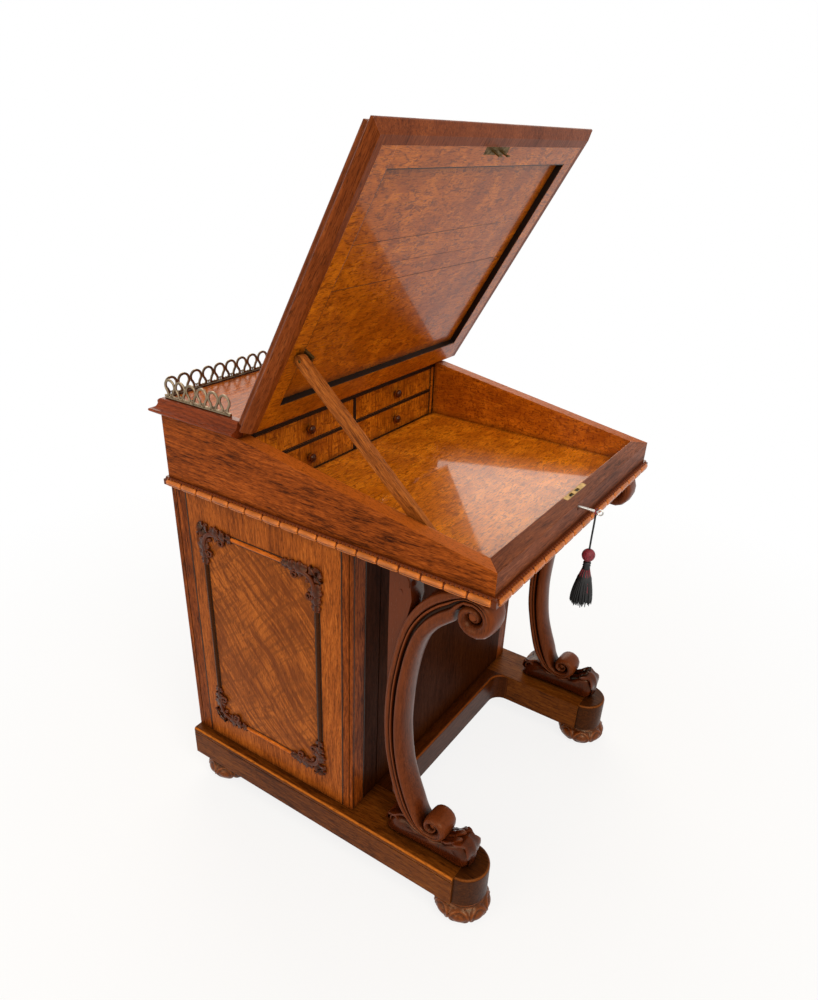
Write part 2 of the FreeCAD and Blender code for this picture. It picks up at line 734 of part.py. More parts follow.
def lid_space():
    """Everything in front of the deck's bevelled face, from the hinge line down."""
    return lid_closed(lid_block(-BOX_W, BOX_W, 0, BOX_D, -DECK_T, 3 * DECK_T))


def make_deck():
    edge = HALF_BOX - EDGE_IN
    board = block(-edge, edge, HINGE_Y - DECK_T, BOX_D - EDGE_IN, Z_REAR, Z_DECK)
    keep("rear_deck", board.cut(lid_space()).cut(hinge_mortises(True)))
    profile = edge_profile(Z_REAR, DECK_T)
    front = HINGE_Y - DECK_T
    wide = EDGE_OUT + 2
    x_in = HALF_BOX - EDGE_IN
    x_out = HALF_BOX + wide
    left_plan = [(-x_out, front), (-x_in, front), (-x_in, BOX_D - EDGE_IN), (-x_out, BOX_D + wide)]
    left = strip(profile, left_plan, Z_REAR, Z_DECK, "left").cut(lid_space())
    back = strip(profile, ring_plan("back", -EDGE_IN, wide, 0, BOX_D), Z_REAR, Z_DECK, "back")
    keep("deck_cornice", left, back, mirror_x(left))


# ---- bank of small drawers ----
def bank_cells():
    half = HALF_INNER - CHEEK_T
    shelf_z = Z_FLOOR + LOWER_ROW_H
    rows = ((Z_FLOOR, shelf_z), (shelf_z + SHELF_T, Z_REAR - BANK_TOP_T))
    columns = ((-half, -DIVIDER_T / 2), (DIVIDER_T / 2, half))
    return [(x0, x1, z0, z1) for z0, z1 in rows for x0, x1 in columns]


def make_bank():
    shell = block(-HALF_INNER, HALF_INNER, BANK_FRONT_Y, INNER_BACK_Y, Z_FLOOR, Z_REAR)
    half = HALF_INNER - CHEEK_T
    shelf_z = Z_FLOOR + LOWER_ROW_H
    dividers = []
    for z0, z1 in ((Z_FLOOR, shelf_z), (shelf_z + SHELF_T, Z_REAR - BANK_TOP_T)):
        shell = shell.cut(block(-half, half, BANK_FRONT_Y - 1, INNER_BACK_Y + 1, z0, z1))
        dividers.append(block(-DIVIDER_T / 2, DIVIDER_T / 2, BANK_FRONT_Y, INNER_BACK_Y, z0, z1))
    keep("small_drawer_case", shell)
    keep("small_drawer_dividers", *dividers)
    for number, (x0, x1, z0, z1) in enumerate(bank_cells(), 1):
        make_small_drawer(number, x0 + FRONT_GAP, x1 - FRONT_GAP, z0 + RUN_GAP, z1 - FRONT_GAP)


def make_small_drawer(number, x0, x1, z0, z1):
    y0 = BANK_FRONT_Y + RUN_GAP
    y1 = y0 + SMALL_DEEP
    tray = block(x0, x1, y0, y1, z0, z1)
    inside = block(
        x0 + SMALL_WALL, x1 - SMALL_WALL, y0 + SMALL_FRONT_T, y1 - SMALL_WALL,
        z0 + SMALL_BOTTOM, z1 + 1)
    lowered = block(x0 - 1, x1 + 1, y0 + SMALL_FRONT_T, y1 + 1, z1 - SMALL_WALL, z1 + 1)
    r = SMALL_KNOB_R
    out = SMALL_KNOB_OUT
    knob = turned(
        [
            (0, 0),
            (r * 0.5, 0),
            (r * 0.5, out - 1.7 * r),
            ("arc", (r, out - r * 0.95), (r * 0.6, out - r * 0.2)),
            ("arc", (r * 0.4, out - 0.05 * r), (r * 0.15, out)),
            (0, out),
        ],
        V((x0 + x1) / 2, y0, (z0 + z1) / 2), V(0, 1, 0))
    keep("small_drawer_%d" % number, tray.cut(inside).cut(lowered), knob)


# ---- lid ----
def make_lid():
    half = HALF_BOX - EDGE_IN
    front = LID_FRONT_T - EDGE_IN
    ledge = LID_T - RECESS_DEEP
    frame = lid_block(-half, half, LID_GAP, front, 0, LID_T)
    frame = frame.cut(lid_block(-RECESS_X, RECESS_X, RECESS_REAR_T, RECESS_FRONT_T, -1, LID_T + 1))
    wide = RECESS_X + RABBET
    rear = RECESS_REAR_T - RABBET
    fore = RECESS_FRONT_T + RABBET
    frame = frame.cut(lid_block(-wide, wide, rear, fore, -1, ledge))
    frame = frame.cut(hinge_mortises(False)).cut(link_plate_shape(0.0))
    pieces = []
    for x0, x1, t0, t1 in (
            (-half, -RECESS_X, LID_GAP, front),
            (RECESS_X, half, LID_GAP, front),
            (-RECESS_X, RECESS_X, LID_GAP, RECESS_REAR_T),
            (-RECESS_X, RECESS_X, RECESS_FRONT_T, front)):
        pieces.append(frame.common(lid_block(x0, x1, t0, t1, 0, LID_T)))
    keep("lid_frame", *[lid_open(piece) for piece in pieces])

    x = wide - PANEL_FIT
    t0 = rear + PANEL_FIT
    t1 = fore - PANEL_FIT
    top = LEATHER_SUNK + LEATHER_T
    joint = PANEL_JOINT_GAP / 2
    boards = [
        lid_block(-x, x, t0, PANEL_JOINT_T - joint, top, ledge),
        lid_block(-x, x, PANEL_JOINT_T + joint, t1, top, ledge),
    ]
    keep("lid_panel", *[lid_open(board) for board in boards])
    keep("writing_leather", lid_open(lid_block(-x, x, t0, t1, LEATHER_SUNK, top)))
    make_lid_moulding()


def make_lid_moulding():
    profile = edge_profile(-LID_T, LID_T)
    wide = EDGE_OUT + 2
    x_in = HALF_BOX - EDGE_IN
    x_out = HALF_BOX + wide
    y_in = -(LID_FRONT_T - EDGE_IN)
    y_out = -(LID_FRONT_T + wide)
    reach = 2 * BOX_D
    face = outline(profile, lambda p, h: V(-HALF_BOX - p, -reach, h))
    left = face.extrude(V(0, 2 * reach, 0))
    left_plan = [(-x_out, -LID_GAP), (-x_in, -LID_GAP), (-x_in, y_in), (-x_out, y_out)]
    left = left.common(plan_prism(left_plan, -LID_T, 0))
    face = outline(profile, lambda p, h: V(-reach, -LID_FRONT_T - p, h))
    front = face.extrude(V(2 * reach, 0, 0))
    front_plan = [(-x_out, y_out), (x_out, y_out), (x_in, y_in), (-x_in, y_in)]
    front = front.common(plan_prism(front_plan, -LID_T, 0))
    keep("lid_moulding", lid_open(left), lid_open(front), lid_open(mirror_x(left)))


# ---- hinges: leaf faces meet across the joint, knuckles run along the top edge ----
def hinge_mortises(deck):
    cuts = []
    for x in (-HINGE_X, HINGE_X):
        x0 = x - HINGE_L / 2 - KNUCKLE_GAP
        x1 = x + HINGE_L / 2 + KNUCKLE_GAP
        cuts.append(rod(KNUCKLE_R + KNUCKLE_GAP, V(x0, 0, 0), V(x1, 0, 0)))
        if deck:
            cuts.append(lid_block(x0, x1, -LEAF_T - PIN_FIT, 1, 0, LEAF_W))
        else:
            cuts.append(lid_block(x0, x1, -1, LID_GAP + LEAF_T, 0, LEAF_W))
    whole = Part.makeCompound(cuts)
    return lid_closed(whole) if deck else whole


def make_hinges():
    deck_leaves = []
    lid_leaves = []
    pins = []
    step = HINGE_L / KNUCKLES
    clear_w = KNUCKLE_R + KNUCKLE_GAP
    for x in (-HINGE_X, HINGE_X):
        x0 = x - HINGE_L / 2
        deck_leaf = lid_block(x0, x0 + HINGE_L, -LEAF_T, 0, clear_w, LEAF_W)
        lid_leaf = lid_block(x0, x0 + HINGE_L, LID_GAP, LID_GAP + LEAF_T, clear_w, LEAF_W)
        deck_parts = [deck_leaf]
        lid_parts = [lid_leaf]
        for index in range(KNUCKLES):
            a = x0 + index * step + (KNUCKLE_GAP / 2 if index else 0)
            b = x0 + (index + 1) * step - (KNUCKLE_GAP / 2 if index < KNUCKLES - 1 else 0)
            barrel = rod(KNUCKLE_R, V(a, 0, 0), V(b, 0, 0))
            if index % 2 == 0:
                deck_parts += [barrel, lid_block(a, b, -LEAF_T, 0, 0, clear_w + 1)]
            else:
                lid_parts += [barrel, lid_block(a, b, LID_GAP, LID_GAP + LEAF_T, 0, clear_w + 1)]
        end = PIN_FIT + 1
        bore = rod(HINGE_PIN_R + PIN_FIT, V(x0 - end, 0, 0), V(x0 + HINGE_L + end, 0, 0))
        deck_leaves.append(lid_closed(fused(deck_parts).cut(bore)))
        lid_leaves.append(lid_open(fused(lid_parts).cut(bore)))
        pins.append(lid_closed(rod(HINGE_PIN_R, V(x0, 0, 0), V(x0 + HINGE_L, 0, 0))))
    keep("deck_hinge_leaves", *deck_leaves)
    keep("hinge_pins", *pins)
    keep("lid_hinge_leaves", *lid_leaves)


# ---- lid prop and the shoe that it turns on ----
def make_prop():
    x_out = -HALF_INNER + PROP_WALL_GAP
    x_in = x_out + PROP_T
    half = PROP_W / 2
    depth = LID_T + half + PROP_PIN_CLEAR
    pin = lid_point(0, PROP_PIN_T, depth)
    spin = math.radians(180 + SLOPE_DEG - LID_OPEN_DEG + PROP_DEG)
    way = V(0, math.cos(spin), math.sin(spin))
    foot = pin + way * PROP_L
    across = V(0, -way.z, way.y) * half

    def at(x, centre, off, along=0.0):
        return V(x, centre.y + off.y + way.y * along, centre.z + off.z + way.z * along)

    edges = [
        line(at(x_out, pin, across), at(x_out, foot, across)),
        arc(at(x_out, foot, across), at(x_out, foot, V(0, 0, 0), half), at(x_out, foot, -across)),
        line(at(x_out, foot, -across), at(x_out, pin, -across)),
        arc(at(x_out, pin, -across), at(x_out, pin, V(0, 0, 0), -half), at(x_out, pin, across)),
    ]
    strut = face_of(edges).extrude(V(PROP_T, 0, 0))
    hole = rod(PROP_PIN_R + PIN_FIT, V(x_out - 1, pin.y, pin.z), V(x_in + 1, pin.y, pin.z))
    keep("lid_prop", strut.cut(hole))

    shoe_x0 = -RECESS_X + SHOE_CLEAR
    shoe = lid_open(lid_block(
        shoe_x0, shoe_x0 + SHOE_T, PROP_PIN_T - SHOE_L / 2, PROP_PIN_T + SHOE_L / 2,
        LID_T - RECESS_DEEP + SHOE_CLEAR, depth + SHOE_BELOW))
    axle = rod(PROP_PIN_R, V(x_out + 1, pin.y, pin.z), V(shoe_x0 + 1, pin.y, pin.z))
    keep("prop_slide_shoe", fused([shoe, axle]))


# ---- lock ----
def on_rim(shape):
    """From flat coordinates with z = 0 at the box's front top edge to the sloping rim."""
    placed = shape.copy()
    placed.rotate(V(0, 0, 0), V(1, 0, 0), SLOPE_DEG)
    placed.translate(V(0, 0, Z_FRONT))
    return placed


def rim_plate(grow):
    y0 = LOCK_PLATE_Y0 / math.cos(SLOPE)
    return on_rim(block(
        LOCK_X0 - grow, LOCK_X1 + grow, y0 - grow, y0 + LOCK_PLATE_W + grow, -LOCK_PLATE_T, 0))


def lock_body(grow):
    y1 = BOX_WALL
    y0 = y1 - LOCK_DEEP
    base = Z_FRONT - LOCK_H
    rough = block(
        LOCK_X0 - grow, LOCK_X1 + grow, y0 - grow, y1, base - grow, Z_REAR)
    under = on_rim(block(-BOX_W, BOX_W, -BOX_D, BOX_D, -LOCK_PLATE_T, 3 * DECK_T))
    return rough.cut(under)


def lock_mortise():
    keyhole = rod(KEYHOLE_R, V(KEY_X, -1, Z_KEY), V(KEY_X, BOX_WALL, Z_KEY))
    slot = block(KEY_X - BIT_W, KEY_X + BIT_W, -1, BOX_WALL - LOCK_DEEP, Z_KEY - BIT_R - 1, Z_KEY)
    return Part.makeCompound([lock_body(LOCK_FIT), rim_plate(LOCK_FIT), keyhole.fuse(slot)])


def hook_slots():
    slots = []
    for x in HOOK_XS:
        half = HOOK_SLOT_W / 2
        slots.append(block(x - half, x + half, HOOK_SLOT_Y0, HOOK_SLOT_Y1, Z_FLOOR, Z_REAR))
    return slots


def make_lock():
    keep("lock_plate", rim_plate(0).cut(Part.makeCompound(hook_slots())))
    case = lock_body(0)
    y0 = BOX_WALL - LOCK_DEEP
    inside = block(
        LOCK_X0 + LOCK_WALL, LOCK_X1 - LOCK_WALL, y0 + LOCK_WALL, BOX_WALL - LOCK_WALL,
        Z_FRONT - LOCK_H + LOCK_WALL, slope_z(y0) - LOCK_PLATE_T - LOCK_WALL)
    case = case.cut(inside)
    for slot in hook_slots():
        case = case.cut(slot)
    keyhole = rod(KEYHOLE_R, V(KEY_X, 0, Z_KEY), V(KEY_X, y0 + 2 * LOCK_WALL, Z_KEY))
    slot = block(KEY_X - BIT_W, KEY_X + BIT_W, 0, y0 + 2 * LOCK_WALL, Z_KEY - BIT_R - 1, Z_KEY)
    keep("lock_case", case.cut(keyhole.fuse(slot)))
    make_bolt()


def make_bolt():
    y0 = BOLT_PLANE_Y
    y1 = y0 + BOLT_T
    top = Z_KEY - BOLT_UNDER_KEY
    talon = KEY_X + BOLT_TRAVEL / 2
    posts = [x + HOOK_W / 2 + FINGER_GAP + FINGER_L for x in HOOK_XS]
    bar = block(talon - 2 * TALON_HALF, posts[-1] + POST_W, y0, y1, top - BOLT_H, top)
    talon_x0 = talon - TALON_HALF
    bar = bar.cut(block(talon_x0, talon + TALON_HALF, y0 - 1, y1 + 1, top - TALON_DEEP, top + 1))
    eye_z = slope_z(HOOK_Y) - HOOK_EYE_TOP * math.cos(SLOPE)
    finger_z = eye_z - FINGER_BELOW_EYE
    parts = [bar]
    for x in posts:
        parts.append(block(x, x + POST_W, y0, y1, top - 1, finger_z))
        parts.append(block(x - FINGER_L, x + POST_W, y0, HOOK_SLOT_Y1, finger_z - FINGER_H, finger_z))
    keep("lock_bolt", fused(parts))


def link_plate_shape(grow):
    along = (HINGE_Y - HOOK_Y + LID_T * math.sin(SLOPE)) / math.cos(SLOPE)
    return lid_block(
        LINK_PLATE_X0 - grow, LINK_PLATE_X1 + grow,
        along - LINK_PLATE_W / 2 - grow, along + LINK_PLATE_W / 2 + grow,
        LID_T - LINK_PLATE_T - grow, LID_T)


def make_link_plate():
    along = (HINGE_Y - HOOK_Y + LID_T * math.sin(SLOPE)) / math.cos(SLOPE)
    parts = [link_plate_shape(0)]
    for x in HOOK_XS:
        hook = lid_block(
            x - HOOK_W / 2, x + HOOK_W / 2, along - HOOK_T / 2, along + HOOK_T / 2,
            LID_T - 1, LID_T + HOOK_L)
        eye = lid_block(
            x + HOOK_W / 2 - HOOK_EYE_DEEP, x + HOOK_W, along - HOOK_T, along + HOOK_T,
            LID_T + HOOK_EYE_TOP, LID_T + HOOK_EYE_TOP + HOOK_EYE_H)
        parts.append(hook.cut(eye))
    keep("link_plate", lid_open(fused(parts)))


# ---- key and tassel ----
def make_key():
    shank_end = BOLT_PLANE_Y + BOLT_T
    shank = rod(KEY_R, V(KEY_X, BOW_Y + BOW_R, Z_KEY), V(KEY_X, shank_end, Z_KEY))
    bow = Part.makeTorus(BOW_R, BOW_WIRE_R, V(KEY_X, BOW_Y, Z_KEY), V(1, 0, 0))
    bit = block(-BIT_W / 2, BIT_W / 2, BOLT_PLANE_Y + 0.1, shank_end - 0.1, -BIT_R, 0)
    bit.rotate(V(0, 0, 0), V(0, 1, 0), -45)
    bit.translate(V(KEY_X, 0, Z_KEY))
    keep("key", fused([shank, bow, bit]))
    loop_r = KEY_R + LOOP_FIT + LOOP_WIRE_R
    loop = Part.makeTorus(loop_r, LOOP_WIRE_R, V(KEY_X, LOOP_Y, Z_KEY), V(0, 1, 0))
    keep("tassel_loop", loop)


def cord_path(points, name):
    """Straight runs joined by tangent arcs; prints each arc's radius."""
    edges = []
    here = points[0]
    length = 0.0
    for index in range(1, len(points) - 1):
        back = points[index - 1] - points[index]
        ahead = points[index + 1] - points[index]
        turn = math.pi - back.getAngle(ahead)
        cut = 0.45 * min(back.Length, ahead.Length)
        radius = cut / math.tan(turn / 2)
        start = points[index] + back.normalize() * cut
        end = points[index] + ahead.normalize() * cut
        reach = math.hypot(radius, cut) - radius
        middle = points[index] + ((start + end) * 0.5 - points[index]).normalize() * reach
        edges.append(line(here, start))
        edges.append(arc(start, middle, end))
        length += (start - here).Length + radius * turn
        here = end
        print("%s bend %d radius %.1f mm" % (name, index, radius))
    edges.append(line(here, points[-1]))
    length += (points[-1] - here).Length
    return Part.Wire(edges), length


def make_tassel():
    top_z = Z_KEY - KEY_R - LOOP_FIT - 2 * LOOP_WIRE_R
    points = [
        V(KEY_X, LOOP_Y, top_z),
        V(KEY_X - 0.7, LOOP_Y - 0.4, top_z - 19),
        V(KEY_X + 0.3, LOOP_Y + 0.3, top_z - 39),
        V(KEY_X, LOOP_Y, top_z - 59),
    ]
    path, length = cord_path(points, "tassel_cord")
    ring = Part.Wire([Part.makeCircle(CORD_D / 2, points[0], points[1] - points[0])])
    tube = path.makePipeShell([ring], True, True)
    print("tassel_cord volume ratio %.4f" % (tube.Volume / (math.pi * CORD_D ** 2 / 4 * length)))
    keep("tassel_cord", tube)
    low = points[-1]
    bead = Part.makeSphere(BEAD_R, V(low.x, low.y, low.z - BEAD_R))
    knot_z = low.z - 2 * BEAD_R - KNOT_H
    keep("tassel_bead", bead)
    skirt = turned(
        [
            (0, KNOT_H),
            (KNOT_R * 0.8, KNOT_H),
            ("arc", (KNOT_R, KNOT_H / 2), (KNOT_R * 0.8, 0)),
            (SKIRT_R, -SKIRT_H * 0.75),
            (SKIRT_R * 0.8, -SKIRT_H),
            (0, -SKIRT_H),
        ],
        V(low.x, low.y, knot_z))
    keep("tassel_skirt", skirt)


# ---- gallery ----
def arcade(length):
    """A pierced strip standing on x = 0..length, y = 0..thickness."""
    count = int(length / GALLERY_PITCH)
    pitch = length / count
    body = block(0, length, 0, GALLERY_T, 0, GALLERY_H - ARCH_R)
    centre_h = GALLERY_H - ARCH_R
    discs = []
    holes = []
    for index in range(count):
        x = (index + 0.5) * pitch
        discs.append(rod(ARCH_R, V(x, 0, centre_h), V(x, GALLERY_T, centre_h)))
        hole = rod(ARCH_HOLE_R, V(x, -1, centre_h), V(x, GALLERY_T + 1, centre_h))
        slot_x0 = x - ARCH_SLOT_W / 2
        slot = block(slot_x0, slot_x0 + ARCH_SLOT_W, -1, GALLERY_T + 1, GALLERY_RAIL_H, centre_h)
        holes.append(hole.fuse(slot))
    body = body.multiFuse(discs)
    return body.cut(Part.makeCompound(holes)).removeSplitter()


def make_gallery():
    half = HALF_BOX - GALLERY_INSET
    back_y = BOX_D - GALLERY_INSET
    back = arcade(2 * half)
    back.translate(V(-half, back_y - GALLERY_T, Z_DECK))
    side = arcade(back_y - GALLERY_T - GALLERY_FRONT_Y)
    side.rotate(V(0, 0, 0), V(0, 0, 1), 90)
    side.translate(V(-half + GALLERY_T, GALLERY_FRONT_Y, Z_DECK))
    keep("gallery", back, side, mirror_x(side))


def build():
    make_base()
    make_pedestal_carcase()
    make_side_drawers()
    make_bead_frame()
    make_supports()
    make_writing_box()
    make_carved_moulding()
    make_deck()
    make_bank()
    make_lid()
    make_hinges()
    make_prop()
    make_lock()
    make_link_plate()
    make_key()
    make_tassel()
    make_gallery()


def write_out():
    os.makedirs("parts", exist_ok=True)
    for node in sorted(NODES):
        solids = NODES[node]
        shape = solids[0] if len(solids) == 1 else Part.makeCompound(solids)
        shape = shape.copy()
        shape.translate(V(0, -Y_MID, 0))
        shape.exportStep("parts/%s.step" % node)
        box = shape.BoundBox
        print("%-24s %2d solids  x %.1f..%.1f  y %.1f..%.1f  z %.1f..%.1f  %s" % (
            node, len(solids), box.XMin, box.XMax, box.YMin, box.YMax, box.ZMin, box.ZMax,
            "ok" if shape.isValid() else "INVALID"))
    print("nodes", len(NODES), "y shift", -Y_MID)


build()
write_out()
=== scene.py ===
"""Davenport desk: carving, finishes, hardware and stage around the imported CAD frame."""
import math
import random
import bmesh
import bpy
from bpy.props import FloatProperty, FloatVectorProperty, IntProperty, PointerProperty
from mathutils import Matrix, Vector


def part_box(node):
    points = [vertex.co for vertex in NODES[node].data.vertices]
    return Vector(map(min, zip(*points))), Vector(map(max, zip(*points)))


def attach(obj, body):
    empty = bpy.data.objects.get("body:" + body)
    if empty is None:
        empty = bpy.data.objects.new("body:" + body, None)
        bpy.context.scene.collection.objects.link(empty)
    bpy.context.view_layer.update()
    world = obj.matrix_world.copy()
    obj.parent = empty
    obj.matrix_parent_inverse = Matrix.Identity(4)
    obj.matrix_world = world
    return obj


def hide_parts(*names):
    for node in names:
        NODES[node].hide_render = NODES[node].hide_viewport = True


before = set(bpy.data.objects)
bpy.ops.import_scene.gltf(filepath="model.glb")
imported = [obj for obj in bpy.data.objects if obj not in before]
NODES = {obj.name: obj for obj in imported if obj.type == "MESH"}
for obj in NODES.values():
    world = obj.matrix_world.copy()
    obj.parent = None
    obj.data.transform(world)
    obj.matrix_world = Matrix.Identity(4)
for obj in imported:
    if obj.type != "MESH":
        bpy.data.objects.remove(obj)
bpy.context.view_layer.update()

bl_info = {
    "name": "Davenport Desk",
    "version": (1, 0, 0),
    "blender": (4, 5, 0),
    "location": "View3D > Sidebar > Desk",
    "description": "Builds the carving, finishes and hardware of a davenport desk",
    "category": "Object",
}

# ---- levels and faces that the frame gives, in metres ----
FACE_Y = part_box("desk_front")[0].y
BOX_BACK_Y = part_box("desk_back")[1].y
HALF_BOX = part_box("desk_right_side")[1].x
HALF_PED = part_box("drawer_frame")[1].x
Z_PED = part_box("pedestal_posts")[0].z
Z_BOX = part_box("carved_moulding")[0].z
Z_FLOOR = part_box("carved_moulding")[1].z
Z_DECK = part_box("rear_deck")[1].z
Z_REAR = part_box("rear_deck")[0].z
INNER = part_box("well_floor")[1].x
BANK_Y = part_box("small_drawer_case")[0].y
HINGE_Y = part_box("rear_deck")[0].y
MM = 0.001
X_WAY, Y_WAY, Z_WAY = Matrix.Identity(3)
LID_OPEN_DEG = 69.4
SLOPE_DEG = 9.143
BEAD_BAR = 8.5 * MM
FACE_VENEER = 1.5 * MM
KNOB_FACE = 13 * MM
LINE_FOOT = Z_FLOOR + 0.1 * MM


def metres(profile):
    return [(a * MM, b * MM) for a, b in profile]


def desk(x, y, z):
    """A point in millimetres, with y measured from the front face of the writing box."""
    return Vector((x * MM, FACE_Y + y * MM, z * MM))


# ---- sizes and colours that a user would change ----
def length(name, text, value):
    return FloatProperty(name=name, description=text, default=value, min=0.0, unit="LENGTH", precision=4)


def amount(name, text, value, least):
    return IntProperty(name=name, description=text, default=value, min=least)


def linear(value):
    """Linear colour from the usual 0-255 one."""
    shares = [c / 255 for c in value]
    return tuple(c / 12.92 if c <= 0.04045 else ((c + 0.055) / 1.055) ** 2.4 for c in shares)


def colour(name, text, value):
    return FloatVectorProperty(name=name, description=text, default=linear(value), size=3, min=0, max=1,
                               subtype="COLOR")


class DeskSizes(bpy.types.PropertyGroup):
    support_half: length("Support half width", "Half the width of each scroll support", 0.023)
    moulding_pitch: length("Moulding pitch", "Length of one carved pill of the box moulding", 0.035)
    bead_pitch: length("Bead pitch", "Spacing of the small beads over the pills", 0.0072)
    carving_arm: length("Corner carving arm", "Reach of each corner carving along the panel frame", 0.066)
    gallery_wire: length("Gallery wire", "Thickness of the gallery's bent bars", 0.0044)
    foot_lobes: amount("Foot lobes", "Carved ovals round each bun foot", 8, 3)
    cord_width: length("Cord width", "Diameter of the tassel's cord", 0.003)
    strand_count: amount("Tassel strands", "Threads in the tassel's skirt", 96, 8)


class DeskColours(bpy.types.PropertyGroup):
    walnut: colour("Walnut", "Middle tone of the case walnut", (144, 69, 20))
    burr: colour("Figured panel", "Middle tone of the side panel's veneer", (164, 86, 28))
    carved: colour("Carved walnut", "Middle tone of the carved pieces", (98, 46, 22))
    mahogany: colour("Mahogany", "Middle tone of the deck and edge mouldings", (134, 58, 24))
    maple: colour("Maple", "Middle tone of the bird's-eye maple", (214, 122, 22))
    lining: colour("Drawer lining", "Middle tone of the drawer linings", (168, 122, 76))
    leather: colour("Writing leather", "Middle tone of the writing surface", (84, 28, 20))
    brass: colour("Brass", "Lock plate and hinges", (176, 140, 78))
    bronze: colour("Bronze", "Gallery", (142, 124, 100))
    red_silk: colour("Red silk", "Wrapped thread of the loop and bead", (116, 16, 34))
    black_silk: colour("Black silk", "Cord and skirt of the tassel", (8, 6, 7))
    ebony: colour("Ebonised wood", "Black lines and drawer dividers", (26, 18, 15))
    gilt: colour("Gilt", "Tooled line of the writing surface", (186, 140, 62))
    steel: colour("Steel", "Lock's works and key", (206, 205, 200))


# ---- bmesh helpers ----
def grown_box(bm, low, high):
    verts = bmesh.ops.create_cube(bm, size=1.0)["verts"]
    low, high = Vector(low), Vector(high)
    bmesh.ops.scale(bm, vec=high - low, verts=verts)
    bmesh.ops.translate(bm, vec=(low + high) / 2, verts=verts)
    return verts


def turned(bm, profile, steps, place=Matrix.Identity(4)):
    """Solid of revolution about local Z; the profile starts and ends on the axis."""
    old = set(bm.verts)
    verts = [bm.verts.new((radius, 0, height)) for radius, height in profile]
    edges = [bm.edges.new(pair) for pair in zip(verts, verts[1:])]
    bmesh.ops.spin(bm, geom=verts + edges, cent=(0, 0, 0), axis=(0, 0, 1), dvec=(0, 0, 0), angle=2 * math.pi,
                   steps=steps, use_merge=True, use_normal_flip=False, use_duplicate=False)
    made = [vert for vert in bm.verts if vert not in old]
    bmesh.ops.remove_doubles(bm, verts=made, dist=1e-7)
    made = [vert for vert in bm.verts if vert not in old]
    bmesh.ops.transform(bm, matrix=place, verts=made)
    return made


def loft(bm, rings, closed=False):
    """Bridges rows of points in order and closes both ends, or joins the last to the first."""
    loops = []
    made = []
    for ring in rings:
        verts = [bm.verts.new(point) for point in ring]
        loops.append([bm.edges.new(pair) for pair in zip(verts, verts[1:] + verts[:1])])
        made += verts
    for near, far in zip(loops, loops[1:] + (loops[:1] if closed else [])):
        bmesh.ops.bridge_loops(bm, edges=near + far)
    if not closed:
        for loop in (loops[0], loops[-1]):
            bmesh.ops.contextual_create(bm, geom=loop)
    return made


def repeated(draw, places):
    """A bmesh holding what draw makes, once at each place."""
    unit = bmesh.new()
    draw(unit)
    bmesh.ops.recalc_face_normals(unit, faces=unit.faces)
    bm = bmesh.new()
    for place in places:
        mesh = bpy.data.meshes.new("unit")
        copy = unit.copy()
        bmesh.ops.transform(copy, matrix=place, verts=copy.verts)
        copy.to_mesh(mesh)
        copy.free()
        bm.from_mesh(mesh)
        bpy.data.meshes.remove(mesh)
    unit.free()
    return bm


def smooth_path(points, count):
    """Points on a smooth line through the given ones."""
    points = [Vector(p) for p in points]
    line = []
    last = len(points) - 1
    for step in range(count):
        t = step / (count - 1) * last
        i = min(int(t), last - 1)
        f = t - i
        b, c = points[i], points[i + 1]
        a = points[i - 1] if i else b * 2 - c
        d = points[i + 2] if i + 2 <= last else c * 2 - b
        bend = 2 * a - 5 * b + 4 * c - d
        twist = 3 * b - a - 3 * c + d
        line.append(0.5 * (2 * b + (c - a) * f + bend * f ** 2 + twist * f ** 3))
    return line


def tube(bm, path, radii, normal, sides=8, flat=1.0):
    """A bar along a path that lies about square to the normal; flat scales it along the normal."""
    rings = []
    for index, point in enumerate(path):
        ahead = path[min(index + 1, len(path) - 1)] - path[max(index - 1, 0)]
        across = ahead.cross(normal).normalized()
        up = across.cross(ahead).normalized()
        radius = radii[index] if isinstance(radii, (list, tuple)) else radii
        ring = []
        for k in range(sides):
            turn = 2 * math.pi * (k + 0.5) / sides
            ring.append(point + radius * (math.cos(turn) * across + math.sin(turn) * flat * up))
        rings.append(ring)
    return loft(bm, rings)


def curl(centre, radius, taper, start, sweep, steps):
    """Points of a scroll that winds in; its start and its sweep are in degrees."""
    points = []
    for share in (k / steps for k in range(steps + 1)):
        reach = radius * (1 - taper * share)
        angle = math.radians(start + sweep * share)
        points.append((centre[0] + reach * math.cos(angle), centre[1] + reach * math.sin(angle)))
    return points


def tapered(start, end, count):
    """Radii that go evenly from start to end, given in millimetres."""
    return [(start + (end - start) * k / (count - 1)) * MM for k in range(count)]


